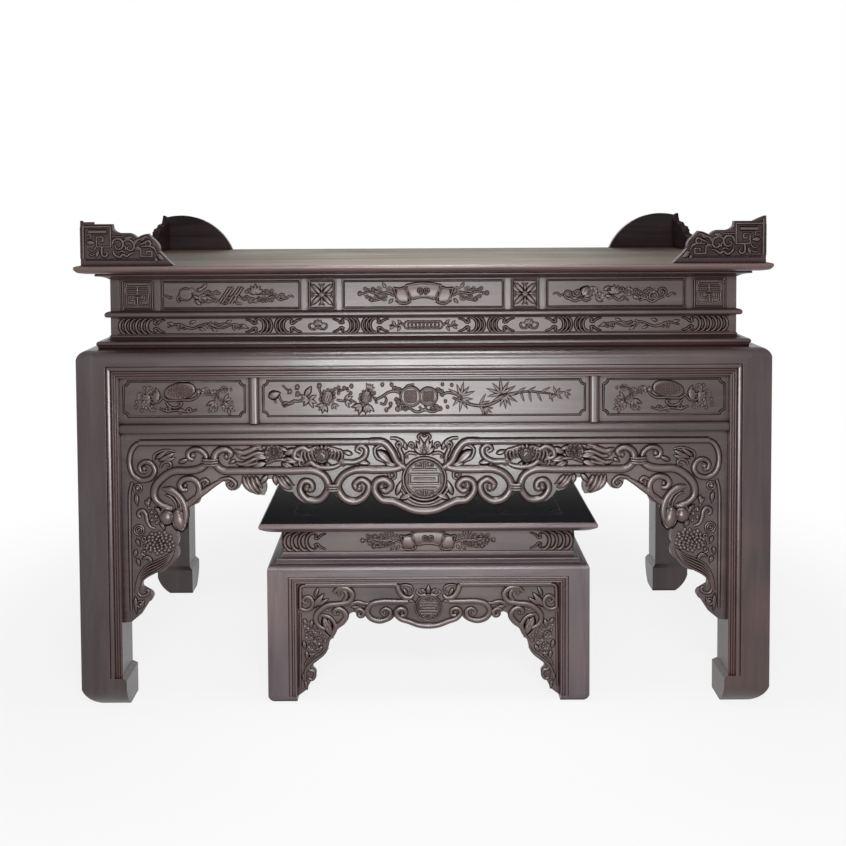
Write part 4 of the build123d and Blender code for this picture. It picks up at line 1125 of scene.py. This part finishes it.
# Two bound scrolls among clouds, with a gourd on the left and a fan of leaves on the right
@motif
def boundScrolls():
    tendril(-150, 4, 24, -1)
    each(swirl, [(-128, 8, 10, 90, 1.2), (128, 4, 11, 200, -1.3)], 2.0)
    stamp("disc", -116, -2, 30, 4, 27, 3.6)
    ringStroke(-116, -2, 15, 1.6, 1.4, 1.0, 20)
    stamp("disc", -100, -12, 13, 0, 13, 3.6)
    each(leaf, [(-98, 2, 20), (-92, 12, 40), (-88, -10, -24), (-80, 6, 10), (-74, -14, -50), (-66, 2, 30)],
         20, 9, 3.2)
    each(flower, [(-72, 8, 11, 5, 10, 3.6), (80, 8, 9, 5, 30, 3.2)])
    each(cloud, [(-58, -6, 12), (-66, 14, 11), (-46, 12, 13), (-38, -6, 10)], -1, 1.5)
    for shift in (-17, -9, 8, 16):
        stroke([(shift - 14, 20), (shift + 14, -20)], 2.9, 1.3, straight=True)
        for drop in (-16, 16):
            x = shift + drop * 0.7
            stroke([(x - 3, -drop - 1.5), (x + 3, 1.5 - drop)], 1.0, 1.5, straight=True, base=3)
    stroke([(-22, 2), (-4, 8), (12, 0), (28, 8)], 2.2, 1.3, (0.7, 0.5), base=2.5)
    strokes([[(-2, 10), (-14, 22), (-24, 20)], [(10, 8), (16, 22), (28, 22)]], 2.0, 1.2, (1, 0.4))
    each(leaf, [(62, -2, -150, 22), (62, -2, -120, 24), (62, -2, -90, 26), (62, -2, -60, 24),
                (62, -2, -30, 22)], 10, 3.4)
    each(cloud, [(40, 8, 12, 1), (56, 14, 12, -1), (72, 12, 13, 1), (90, -6, 14, 1), (96, 12, 12, -1),
                 (112, 4, 12, 1), (46, -10, 10, 1)], 1.5)
    berry(104, -10, 9)
    tendril(134, 6, 26, 1)


# Ribbons, a peach and blossoms
@motif
def ribbonsAndFruit():
    tendril(-134, 2, 26, -1)
    each(swirl, [(-120, 2, 13, 20, 1.3), (-98, -2, 12, 200, -1.2), (98, 8, 13, 160, 1.3),
                 (118, -2, 12, 20, -1.3)], 2.2)
    strokes([
        [(-120, 14), (-102, 20), (-88, 12), (-76, 20), (-62, 14)],
        [(-20, 16), (-6, 10), (8, 18), (22, 12), (34, 20)],
        [(60, 20), (76, 14), (92, 22), (110, 14), (124, 10)],
    ], 2.2, 1.2, (0.6, 0.6))
    stamp("leaf", -84, 6, 14, -24, 24, 5)
    each(leaf, [(-80, 8, -10, 22, 9, 3.2), (-82, 10, 150, 20, 8, 3.2)])
    for x, y, radius in ((-58, -6, 12), (-40, 8, 11), (34, -4, 11)):
        flower(x, y, radius, 5, x, 3.6)
    each(leaf, [(-50, 12, 30), (-30, -8, -30), (-26, 6, 10), (-14, -14, 20), (24, 8, 140), (44, 8, 20)],
         20, 9, 3.0)
    each(leaf, [(0, 2, -160, 22), (0, 2, -130, 23), (0, 2, -100, 24), (0, 2, -70, 23), (0, 2, -40, 22)], 9,
         3.4)
    each(cloud, [(16, -8, 13, 1), (52, -4, 14, -1), (68, 8, 15, 1), (86, -6, 14, 1)])
    tendril(128, 4, 26, 1)


# A twig of plum blossom that grows from 0, 0 to the right
@motif
def plumTwig():
    stroke([(0, 2), (22, -6), (42, -2), (62, -8), (84, -4)], 2.0, 1.2, (1.0, 0.5))
    stroke([(16, -4), (30, 8), (52, 14), (66, 12)], 1.7, 1.2, (1.0, 0.5))
    for x, y, radius in ((12, -13, 8), (26, 8, 8), (38, -14, 7.5)):
        flower(x, y, radius, 5, x, 3.0)
    for x, y, size in ((54, -14, 11), (58, 12, 11), (70, 4, 9), (74, -16, 9), (88, -4, 11), (48, 4, 8)):
        berry(x, y, size)
        stroke([(x - 12, y + 3), (x - 4, y)], 1.2, 1.1)
    each(leaf, [(4, 10, 50), (22, -18, -60)], 16, 7, 2.6)


def bannerHalf():
    plumTwig(x=74, y=2)
    stroke([(46, -21), (36, -4), (30, 12)], 2.0, 1.6, rim=0.6)
    stroke([(40, 4), (55, 4), (68, 1)], 17, 0.12, straight=True, base=1.2)
    strokes([
        [(76, -15), (70, 2), (62, 22)], [(48, -17), (60, -13), (76, -15)], [(33, 18), (46, 24), (62, 22)],
        [(48, -17), (41, 2), (33, 18)],
    ], 2.2, 1.6, base=1.0, rim=0.6)
    swirl(9, -8, 8, 90, 1.3, 1.6, 1.3, (1.0, 1.0), 3)


# A banner unrolled between two twigs of plum, its ends rolled forward
@motif
def unrolledBanner():
    stroke([(-38, -5), (-20, -8), (0, -9), (20, -8), (38, -5)], 17, 0.12, straight=True)
    strokes([[(-46, -21), (-24, -26), (0, -28), (24, -26), (46, -21)], [(-28, 12), (-14, 8), (0, 7), (14, 8),
                                                                        (28, 12)], ], 2.2, 1.6, rim=0.6)
    bothSides(bannerHalf)


# The flower tile: four leaves on the diagonals and a boss
def flowerTile():
    plainBorder(35, 39, 1.6)
    for turn in range(0, 360, 45):
        dx, dy = math.cos(math.radians(turn)), math.sin(math.radians(turn))
        if turn % 90:
            leaf(4 * dx, 4 * dy, turn, 40, 12, 4.4)
            each(leaf, [(18 * dx, 18 * dy, turn - 20), (18 * dx, 18 * dy, turn + 20)], 18, 6, 3.0)
        else:
            leaf(10 * dx, 10 * dy, turn, 20, 8, 3.0)
            stroke([(30 * dx - 9 * dy, 31 * dy + 9 * dx), (24 * dx, 25 * dy),
                    (30 * dx + 9 * dy, 31 * dy - 9 * dx)], 1.5, 1.2, (0.6, 0.6))
    stamp("disc", 0, 0, 13, 0, 13, 5)
    berry(0, 0, 8, 6.5)


# The corner tile: a squared fret, the same left and right
def fretTile():
    plainBorder(42, 39, 1.6)
    fret = [[(-31, -25), (31, -25)], [(-31, -15), (31, -15)], [(0, -25), (0, -15)], [(-32, -4), (32, -4)],
            [(0, -15), (0, -4)], [(-9, 5), (9, 5)], [(0, 5), (0, 28)]]
    for side in (-1, 1):
        hook = [(32, -4), (32, 28), (9, 28), (9, 14), (21, 14), (21, 4), (21, 2)]
        fret += [[(side * 31, -32), (side * 31, -25)], [(side * x, y) for x, y in hook]]
    strokes(fret, 2.3, 1.2, straight=True)


# Bowed lines open towards side, and the cusped end of the cartouche
def waveBand(x, side, count, spacing, halfHeight=21.5, width=2.9):
    for i in range(count):
        points = []
        for step in range(13):
            angle = math.radians(-82 + 164 * step / 12)
            points.append((x - side * i * spacing - side * halfHeight * 0.82 * (math.cos(angle) - 0.14),
                           halfHeight * math.sin(angle)))
        stroke(points, width, 1.5, base=0.3, rim=0.9)
    for sign in (-1, 1):
        cusp = ((3, 0.84), (11, 0.64), (6, 0.36), (14, 0.30), (21, 0.60), (38, 0.90))
        stroke([(x + side * u, sign * halfHeight * v) for u, v in cusp], 1.7, 1.2, (0.5, 0.4), rim=1.0)


# Flying leaves and streamers of one cartouche
@motif
def streamers(length):
    third = length / 3
    for centre, turn in ((-third, 1), (third * 0.2, -1), (third * 1.1, 1)):
        swirl(centre, turn * 2, 9, 90 * turn, 1.2 * turn, 1.9, 1.2, (0.7, 0.6))
        stroke([(centre + 6, turn * 9), (centre + 22, turn * 4), (centre + 38, turn * 8)], 1.9, 1.2,
               (0.7, 0.4))
    wave = ((-0.5, 3), (-0.36, -5), (-0.2, 7), (0, -6), (0.18, 6), (0.34, -4), (0.5, 3))
    stroke([(length * u, y) for u, y in wave], 2.2, 1.2, (0.4, 0.4))
    for u, y, angle in ((-0.42, -6, 190), (-0.22, -8, -20), (-0.10, 6, 20), (0.06, 6, 30), (0.24, -8, -24),
                        (0.42, -2, 10)):
        leaf(length * u, y, angle, 19, 8, 3.0)
    flower(length * 0.02, 0, 8, 5, 0, 3.2)


def palmetteHalf():
    stroke([(4, 3), (12, 11), (22, 8), (25, -2), (18, -6)], 1.9, 1.2, (0.8, 0.5))
    leaf(0, 3, 42, 15, 7, 3.2)


@motif
def palmette():
    each(leaf, [(0, -1, angle) for angle in (-158, -124, -90, -56, -22)], 17, 8, 3.2)
    bothSides(palmetteHalf)
    berry(0, 1, 8)


def frontFriezeHalf():
    waveBand(774, -1, 6, 15.4)
    each(waveBand, [(470, 1), (385, -1), (222, 1), (137, -1)], 3, 11, width=2.3)
    streamers(225, x=618, side=-1)
    palmette(x=301)


def endFriezeHalf():
    waveBand(324, -1, 6, 15.4)
    each(waveBand, [(175, 1), (90, -1)], 3, 11, width=2.3)
    palmette(x=252)
    streamers(70)


def flyingLeaves():
    stroke([(56, 2), (66, -6), (76, 4), (88, -2), (98, 3)], 1.8, 1.2, (0.8, 0.4))
    each(leaf, [(62, -4, -40), (66, 4, 60), (80, 0, -50), (84, 2, 40)], 16, 7, 3.0)


# The middle cartouche: a chain of linked rings between flying leaves
def latticeHeart():
    for x in range(-44, 45, 11):
        ringStroke(x, 0, 11, 1.2, 1.3, 0.2, 14)
        berry(x, 0, 5, 2)
    bothSides(flyingLeaves)


def carvePanel(name, side, reach, **place):
    carve(name, side, waistSetup[reach], waistSetup["friezeMiddle" if "frieze" in name else "panelMiddle"],
          "carvedPanels", waistSetup["outline"], **place)


def carveWaist():
    for name, x, halfWidth, draw in (("left", -548.5, 181, boundScrolls),
                                     ("right", 548.5, 181, ribbonsAndFruit),
                                     ("centre", 0, 213, unrolledBanner)):
        draw(scale=waistSetup["pictureScale"])
        plainBorder(halfWidth + waistSetup["borderMargin"], waistSetup["borderHalfHeight"],
                    waistSetup["line"])
        carvePanel("upper_" + name + "_carving", "front", "panelReach", centre=(x * mm, 0))
    for name, x, draw in (("flower_tile_carving", 290, flowerTile), ("corner_tile_carving", 815.5, fretTile)):
        bothSides(draw, x=-x)
        carvePanel(name, "front", "panelReach")
    for side, draw in (("left", boundScrolls), ("right", ribbonsAndFruit)):
        draw()
        plainBorder(waistSetup["endBorder"], waistSetup["borderHalfHeight"], waistSetup["line"])
        for turn in (-1, 1):
            plumTwig(x=turn * 190, y=4, side=turn, scale=1.5)
        carvePanel("upper_" + side + "_end_carving", side, "endPanelReach")
    for side in ("front", "left", "right"):
        atFront = side == "front"
        bothSides(frontFriezeHalf if atFront else endFriezeHalf)
        if atFront:
            latticeHeart()
        reach, level = waistSetup["friezeHalf" if atFront else "endFriezeHalf"], waistSetup["friezeLevel"]
        strokes([[(-reach, y), (reach, y)] for y in (-level, level)], 1.3, 1.1, straight=True)
        carvePanel(side + "_frieze_carving", side, "friezeReach" if atFront else "endFriezeReach")


# Lower tier
lowerSetup = {
    "reach": 0.496,
    "endReach": 0.946,
    "middle": 0.8795,
    "halfHeight": 50.0,
    "corner": 13.0,
    "line": 1.3,
    "endBorder": 390,
    "outline": 1.9,
}


# A sunflower seen half from the side: a leaning disc with a ruff of round petals
def sunflower(x, y, size):
    for i in range(11):
        angle = 2 * math.pi * i / 11
        dx, dy = math.cos(angle) * size * 0.86, math.sin(angle) * size * 0.92
        berry(x + dx - 0.25 * dy, y + dy, size * 0.42)
    stamp("disc", x, y, size * 0.55, -size * 1.55, size * 1.25, size * 0.24)
    stamp("disc", x, y, size * 0.40, -size * 1.15, size * 0.85, size * 0.30)
    for step in (-0.3, 0.0, 0.3):
        stroke([(x + size * (step - 0.16), y + size * 0.4), (x + size * (step + 0.16), y - size * 0.4)], 0.9,
               1.2, straight=True, base=size * 0.29)


# A coin with a net of slats
def coin(x, y, size):
    stamp("disc", x, y, size * 2, 0, size * 2, 3.4)
    ringStroke(x, y, size, 2.4, 1.3, 2.0, 26)
    for step in range(-2, 3):
        reach, away = size * 0.72 * math.sqrt(1 - (step / 2.9) ** 2), step * size * 0.28
        strokes([
            [(x - reach, y + away), (x + reach, y + away)], [(x + away, y - reach), (x + away, y + reach)],
        ], 1.4, 1.2, straight=True, base=3.0)


# Sunflowers and buds on the left, twin coins with clouds in the middle, bamboo on the right
@motif
def lowerCentrePicture():
    leaf(-436, -4, -22, 34, 22, 5)
    for x, y in ((-377, -20), (-356, -32), (-355, -13), (-294, -36)):
        berry(x, y, 13)
        leaf(x - 6, y + 8, -60, 12, 5, 3)
    each(leaf, [(-334, -6, -58, 32, 15), (-324, -8, -82, 26, 9)], 3.4)
    each(sunflower, [(-272, -3, 22), (-163, -4, 20)])
    each(leafFan, [
        (-324, 3, 28, (170, 130, 62, 26, 210, -30), 0.34), (-280, 18, 26, (170, 135, 105, 70)),
        (-256, 16, 18, (60, 100, 20)), (-222, 6, 24, (-28, 24, 60, -60)), (-176, 18, 30, (165, 135, 105)),
        (-160, 18, 28, (100, 72, 46, 120)), (-155, -24, 20, (-110, -80, -50, -20)),
        (156, 20, 34, (-60, -20, 60), 0.18, 2.8), (168, 30, 26, (30, 60, 0, 100), 0.22, 2.6),
        (372, -8, 24, (-110, -60, -20, 40, 150), 0.24, 2.6), (396, -12, 20, (-30, 20, 60), 0.26, 2.6),
    ])
    each(berry, [(-418, 9, 8), (-250, -26, 9), (-240, -30, 10), (-224, -28, 11), (-204, -34, 12),
                 (-240, -14, 9), (-206, -14, 10), (-214, -22, 8), (-140, -14, 10), (-138, 2, 9),
                 (-134, 12, 8), (-117, -38, 11), (-91, -38, 11), (-94, 17, 11), (-106, 34, 11), (-78, 4, 11),
                 (52, -38, 10), (78, -36, 10), (60, 10, 10), (66, 26, 10), (52, -8, 10)])
    stroke([(-408, -8), (-402, 6), (-396, 12)], 1.6, 1.1)
    stroke([(-398, -38), (-388, -28), (-378, -20)], 1.1, 1.1)
    stroke([(-294, -30), (-292, -18), (-284, -10)], 1.5, 1.1)
    stroke([(-92, 22), (-98, 28), (-104, 32)], 1.2, 1.1)
    stroke([(-400, 20), (-390, 12), (-378, 14), (-366, 7), (-352, 8), (-336, -2)], 2.6, 1.1, (0.5, 0.8))
    stroke([(-396, 24), (-382, 18), (-366, 12)], 1.6, 1.1, (0.5, 0.8))
    stroke([(-244, -20), (-226, -24), (-212, -30)], 1.5, 1.1, (0.6, 0.5))
    stroke([(-246, 4), (-228, 8), (-210, 4), (-190, 14)], 2.0, 1.1, (0.8, 0.6))
    stroke([(-124, 14), (-112, 18), (-106, 4), (-112, -6)], 2.2, 1.1, (0.6, 0.5))
    stroke([(-140, 6), (-118, -4), (-100, -16), (-78, -18), (-60, -6)], 2.4, 1.1, (0.7, 0.7))
    each(swirl, [(-80, -26, 9, 40), (-74, 12, 9, 200), (-72, 28, 9, 240)], 1.1, 1.9)

    each(coin, [(-38, -4, 27), (12, -4, 24)])
    each(cloud, [(-62, 28, 18, -1), (34, 28, 16, 1), (40, -20, 14, 1), (-70, -22, 12, -1)], 2.0)
    stroke([(-40, 30), (-20, 40), (4, 34), (24, 40), (46, 32)], 2.8, 1.1, (0.5, 0.5))
    strokes([[(-14, 24), (-6, 34), (6, 30), (2, 22)], [(-60, -14), (-46, -34), (-28, -38)]], 2.2, 1.1,
            (0.6, 0.6))

    stroke([(44, -8), (66, -14), (88, -10), (108, 4)], 2.6, 1.1, (0.7, 0.7))
    stroke([(80, 0), (110, 12), (142, 22), (176, 22), (206, 10), (232, -8), (262, -14)], 3.0, 1.1, (0.7, 0.4))
    each(leafFan, [(104, -4, 40, (-150, -110, -80, -50, -20, 130)), (106, 4, 36, (100, 60, 30, 0))], 0.18,
         3.0)
    each(leafFan, [
        (218, -10, 44, (-160, -130, -95, -60, -30, 170)), (226, -8, 40, (150, 110, 85, 60, 30, 0)),
    ], 0.17, 3.0)
    stroke([(232, -8), (290, -16), (340, -12), (372, -6)], 1.7, 1.1, (0.8, 0.4))
    each(leaf, [(262, -14, -30), (272, -14, 70), (290, -14, -34), (296, -14, 80), (318, -14, 64),
                (330, -14, -30), (352, -14, 70)], 28, 5.5, 2.6)


# Crossing slats inside an oval, gap apart as a share of its size
def lattice(x, y, halfWidth, halfHeight, gap, base):
    diagonal = 0.707
    for sign in (-1, 1):
        for step in range(-3, 4):
            offset = gap * step
            reach = math.sqrt(0.95 - offset * offset)
            ends = [(offset - sign * reach * side, offset * -sign - reach * side) for side in (-1, 1)]
            stroke([(x + halfWidth * u * diagonal, y + halfHeight * v * diagonal) for u, v in ends], 1.1, 1.3,
                   straight=True, base=base)


# A woven basket with ribbons, and flowers on either side
@motif
def lowerSidePicture():
    stamp("disc", -12, -22, 88, -16, 46, 3.6)
    lattice(-12, -22, 38, 19, 0.26, 3.4)
    berry(40, -20, 15, 5)
    stroke([(-62, -8), (-50, 2), (-30, 4), (-6, 2), (20, 2), (38, -8), (46, -20)], 3.2, 1.1, (0.5, 0.6))
    stroke([(-60, -6), (-76, 10), (-96, 6), (-84, -6)], 2.4, 1.1, (0.7, 0.4))
    stroke([(-52, 8), (-40, 22), (-20, 24), (-6, 12), (-20, 10)], 2.6, 1.1, (0.6, 0.6))
    stroke([(-70, 26), (-50, 34), (-20, 32), (10, 36), (36, 30)], 2.4, 1.1, (0.5, 0.5))
    each(swirl, [(-44, 30), (-8, 34), (14, 32)], 8, 90, 1.2, 1.9, 1.1)
    for x, y, radius in ((-108, 16, 13), (-122, -8, 11), (-98, -26, 11), (-90, 26, 10)):
        flower(x, y, radius, 6, x, 3.8)
    each(berry, [(-134, 8), (-136, 22), (-120, 32), (-112, -32)], 9)
    flower(60, -20, 12, 5, 20, 4)
    stroke([(56, -16), (84, -10), (104, 8), (122, 26)], 2.4, 1.1, (0.8, 0.5))
    stroke([(84, -10), (104, -26), (124, -28)], 2.0, 1.1, (0.8, 0.5))
    for x, y, radius in ((86, -14, 12), (96, 8, 13), (112, -26, 10), (118, 24, 13), (82, 26, 12)):
        flower(x, y, radius, 6, y, 3.8)
    each(leafFan, [
        (-70, -4, 30, (-170, -140, -110, 170, 140)), (-96, 0, 28, (-150, -120, 180, 120)),
        (84, 6, 26, (70, 110, 150, 20)), (112, 6, 24, (-60, -20, 60)), (124, 28, 20, (20, -30, 80)),
    ])
    each(berry, [(134, 10), (132, -26), (70, 34)], 8)


def carveLower(name, side, halfWidth, reach, x=0):
    borderLine(halfWidth, lowerSetup["halfHeight"], lowerSetup["corner"], lowerSetup["line"])
    carve(name, side, lowerSetup[reach], lowerSetup["middle"], "carvedPanels", lowerSetup["outline"],
          (x * mm, 0))


def carveLowerTier():
    for name, x, halfWidth, draw, turn in (
        ("lower_left_carving", -674, 170, lowerSidePicture, 1),
        ("lower_right_carving", 674, 170, lowerSidePicture, -1),
        ("lower_centre_carving", 0, 452, lowerCentrePicture, 1),
    ):
        draw(side=turn)
        carveLower(name, "front", halfWidth, "reach", x)
    for side in ("left", "right"):
        lowerSidePicture()
        for turn in (-1, 1):
            plumTwig(x=turn * 190, y=6, side=turn, scale=1.7)
        carveLower("lower_" + side + "_end_carving", side, lowerSetup["endBorder"], "endReach")


# Corner ears
# x from the ear's outer corner and heights above the table's top
earSetup = {
    "reach": 0.505,
    "endReach": 0.955,
    "corner": 955.0,
    "endCorner": 505.0,
    "foot": 1.255,
    "line": 2.8,
    "relief": 1.35,
    "blockHead": 110,  # the top line of the front board's block
    "frontHeights": {"left": 123, "right": 132},
    "sideHead": 90,
    "sideHeight": 118,
    "outline": 2.0,
}


def earLines(lines, width, taper=(1.0, 1.0), straight=True):
    for points in lines:
        stroke([(x, -h) for x, h in points], width, earSetup["relief"], taper, straight=straight)


# The outer border, a squared fret in the block and what hangs from it
def earBlock(head, height, reach):
    # a hairline whose dark rim paints the shade of a cut groove along the top
    stroke([(14, -18), (reach, -18)], 0.3, 0.5, straight=True, rim=0.5)
    earLines([
        [(8, 21), (8, height - 9)],
        [(9, head), (84, head), (84, 54), (45, 54), (45, 82), (63, 82), (63, 70), (55, 70)],
    ], earSetup["line"])
    earLines([[(24, head - 14), (74, head - 14)]], 5.0)
    earLines([[(17, 88), (30, 88), (30, 78), (18, 78)]], 2.0)
    leaf(16, -66, 0, 24, 12, 3.6)
    earLines([[(60, 54), (59, 42), (60, 31), (69, 27), (75, 35), (70, 40)]], 3.2, (1.0, 0.6), False)
    earLines([[(44, 56), (38, 46), (30, 42), (22, 50)], [(22, 34), (32, 30), (42, 36)]], 2.0, (0.7, 0.5),
             False)
    leaf(50, -44, 110, 22, 9, 3.2)


# Rolled clouds in the middle of the board
def earClouds():
    earLines([[(88, 82), (116, 82)]], 1.8)
    earLines([
        [(88, 60), (93, 73), (108, 76), (119, 65), (115, 51), (102, 47), (96, 56), (104, 62)],
        [(117, 66), (130, 74), (146, 67), (149, 51), (138, 43), (129, 50), (136, 57)],
        [(90, 43), (96, 31), (109, 25), (118, 33), (128, 27), (139, 35), (152, 38)],
    ], 3.2, (0.7, 0.5), False)
    earLines([[(104, 38), (116, 42), (124, 37)], [(122, 58), (126, 50), (124, 43)]], 2.4, (0.6, 0.5), False)
    each(leaf, [(120, -76, -12, 26), (146, -60, -50, 20), (150, -48, -20, 18)], 9, 3.4)


def earCrest():
    earLines([
        [(152, 60), (158, 72), (172, 76), (184, 82), (190, 77)],
        [(162, 58), (176, 64), (191, 70), (196, 61), (186, 55), (180, 63)],
    ], 3.0, (0.6, 0.5), False)
    leaf(166, -70, -30, 18, 8, 3.4)


def earTail():
    earLines([[(154, 48), (168, 48), (168, 27), (199, 27), (199, 41), (184, 41), (184, 35)]], 2.8)
    earLines([[(170, 55), (196, 54), (207, 47), (211, 33)]], 2.8, (0.8, 0.5), False)
    each(leaf, [(211, -34, 32, 24), (214, -25, 18, 22), (207, -24, 62, 14)], 9, 3.4)


@motif
def frontEar(height):
    earBlock(earSetup["blockHead"], height, 226)
    earClouds()
    earCrest()
    earTail()


@motif
def lowCloudsAndTail():
    earClouds()
    earTail()


# The side boards have a lower block and no crest
def sideEar():
    earBlock(earSetup["sideHead"], earSetup["sideHeight"], 230)
    lowCloudsAndTail(x=8, y=4)


def carveEar(name, side, reach):
    carve(name, side, earSetup[reach], earSetup["foot"], "earBoards", earSetup["outline"])


def carveEars():
    for side, sign in (("left", 1), ("right", -1)):
        frontEar(earSetup["frontHeights"][side], x=-sign * earSetup["corner"], side=sign)
        carveEar("front_" + side + "_ear_carving", "front", "reach")
        bothSides(sideEar, x=-earSetup["endCorner"])
        carveEar(side + "_side_ear_carving", side, "endReach")


# Low offering table
# x from the left leg's inner face, y down from the apron's top
lowSetup = {
    "centre": (0.010, -0.195),
    "apronReach": 0.268,  # from the centre to the front apron's face
    "endReach": 0.4365,
    "apronTop": 0.345,
    "middle": 370.0,
    "widen": 1.0176,  # the drawing is stretched to the opening
    "endMiddle": 208.0,
    "friezeReach": 0.247,
    "endFriezeReach": 0.4155,
    "friezeMiddle": 0.455,
    "rod": 8.0,
    "curl": 5.8,
    "apronOutline": 0.9,
    "friezeOutline": 1.5,
    "bannerScale": 1.05,
    "endBannerScale": 0.8,
}


def lowRod(points, taper=(0.6, 0.6)):
    stroke(points, lowSetup["rod"], 0.95, taper, 0.3)


def lowCurl(points, taper=(0.6, 0.6), groove=0.3):
    stroke(points, lowSetup["curl"], 0.95, taper, groove)


def lowCorner(rodEnd):
    stroke([(rodEnd, 9), (200, 9), (100, 9), (24, 9)], lowSetup["rod"], 0.95, (1.0, 1.0), 0.3, straight=True)
    stroke([(9, 24), (9, 60), (9, 78)], lowSetup["curl"], 0.9, straight=True)
    lowCurl([(24, 10), (15, 12), (9, 20), (14, 26)], (1, 0.7), 0.0)
    lowCurl([(9, 78), (24, 83), (40, 76), (45, 60), (36, 45), (22, 46), (17, 57), (27, 65)], (0.9, 0.6))
    each(berry, [(28, 58, 9), (114, 94, 10)], 5)
    stroke([(9, 92), (8, 160), (7, 240), (6, 306)], 3.6, 0.9, straight=True)
    each(leaf, [(44, 76, -52, 52, 17, 5), (58, 70, -34, 38, 12, 4), (50, 44, -68, 30, 11, 4)])
    lowCurl([(129, 56), (139, 45), (137, 31), (124, 25), (116, 33), (122, 42)], (0.7, 0.6))
    lowRod([(103, 33), (117, 20), (143, 21), (157, 38), (147, 58), (118, 65), (88, 68), (67, 81), (53, 99),
            (56, 122), (76, 136), (92, 127), (86, 112)])
    lowRod([(112, 96), (104, 90), (110, 80), (126, 81), (138, 98), (130, 115), (109, 134), (97, 156)])
    stroke([(67, 97), (92, 104), (107, 126), (102, 152), (86, 172)], lowSetup["curl"], 0.9, (0.6, 0.5), 0.3)
    stamp("leaf", 74, 104, 26, 58, 24, 6)
    stroke([(76, 76), (86, 84), (98, 80)], 2.6, 1.0, (0.6, 0.5))


def lowBracket():
    for x, y, radius in ((28, 128, 11), (34, 158, 12), (58, 172, 13), (40, 190, 11), (50, 142, 9)):
        flower(x, y, radius, 5, x * 7, radius * 0.5)
    each(berry, [(66, 150, 10), (76, 160, 9), (78, 174, 9), (56, 196, 9), (36, 210, 8), (24, 144, 8)])
    each(leaf, [(18, 108, 60, 22), (42, 112, 100, 24), (18, 172, 80, 26), (70, 186, 120, 26),
                (26, 202, 85, 26), (46, 206, 120, 24)], 11, 4.2)
    stroke([(22, 288), (22, 262), (35, 242), (54, 226), (74, 210), (86, 192)], 4.4, 0.95, (0.7, 0.5), 0.3)
    stroke([(20, 250), (26, 232), (42, 216), (58, 204)], 3.0, 0.95, (0.7, 0.5))
    stroke([(30, 246), (34, 258), (46, 262), (48, 276), (40, 286), (31, 281), (36, 273)], 4.0, 0.95,
           (0.6, 0.6), 0.3)
    each(leaf, [(22, 290, 80, 26, 9, 3.6), (16, 268, 84, 26, 9, 3.4)])


def lowScrolls():
    lowCurl([(146, 72), (167, 60), (195, 65), (206, 62)], (0.5, 0.5))
    lowCurl([(161, 88), (173, 80), (187, 88), (184, 101), (173, 99), (176, 91)])
    lowRod([(313, 59), (280, 59), (234, 59), (209, 66), (197, 86), (207, 106), (234, 115), (259, 105),
            (263, 87), (249, 79), (237, 89), (245, 100)], (0.8, 0.6))
    each(berry, [(246, 92, 10), (295, 92, 9)], 5)
    lowRod([(282, 10), (288, 30), (302, 46), (320, 48), (328, 38)], (0.9, 0.5))
    stroke([(292, 12), (306, 10), (322, 16), (326, 28), (316, 32)], 3.6, 1.0, (0.8, 0.5))
    each(leaf, [(150, 72, 10, 40, 10), (300, 20, 60, 26, 10), (312, 56, 10, 22, 8)], 4)


def heartLeaves():
    stroke([(8, 37), (24, 41), (34, 31), (28, 23)], 3.4, 1.0, (0.8, 0.5))
    leaf(6, 35, -42, 22, 9, 4)


def lowHeart():
    seal(37, y=76)
    leaf(0, 37, -90, 26, 13, 5)
    bothSides(heartLeaves)


def lowFrontHalf():
    lowCorner(282)
    lowBracket()
    lowScrolls()


def lowEndHalf():
    lowCorner(208)
    lowBracket()


def lowFriezeHalf(halfReach, atFront):
    waveBand(halfReach - 84, -1, 4, 21, 26, 4.2)
    if atFront:
        plumTwig(x=92, y=2, scale=1.1)


def carveLow(name, side, reach, board):
    top = lowSetup["apronTop" if board == "apron" else "friezeMiddle"]
    finish = "carvedAprons" if board == "apron" else "carvedPanels"
    carve(name, side, reach, top, finish, lowSetup[board + "Outline"], lowSetup["centre"])


def carveLowTable():
    widen = lowSetup["widen"]
    bothSides(lowFrontHalf, x=-lowSetup["middle"] * widen, widen=widen)
    lowHeart()
    sweptRod([(-79, 99), (-67, 99), (-66, 84), (-83, 79), (-93, 90), (-82, 107), (-55, 117), (-28, 127),
              (0, 130)], lowSetup["rod"])
    carveLow("low_front_apron_carving", "front", lowSetup["apronReach"], "apron")
    for side in ("left", "right"):
        bothSides(lowEndHalf, x=-lowSetup["endMiddle"])
        lowHeart()
        sweptRod([(-74, 94), (-64, 108), (-44, 119), (-22, 127), (0, 130)], lowSetup["rod"])
        carveLow("low_" + side + "_apron_carving", side, lowSetup["endReach"], "apron")
    for side in ("front", "left", "right"):
        atFront = side == "front"
        away, along = lowSetup["friezeReach"], lowSetup["endFriezeReach"]
        if not atFront:
            away, along = along, away
        bothSides(lowFriezeHalf, along / mm, atFront)
        unrolledBanner(scale=lowSetup["bannerScale" if atFront else "endBannerScale"])
        carveLow("low_" + side + "_frieze_carving", side, away, "frieze")


for carveAll in (carveAprons, carveWaist, carveLowerTier, carveEars, carveLowTable):
    carveAll()

for shape in stampShapes.values():
    bpy.data.objects.remove(shape)
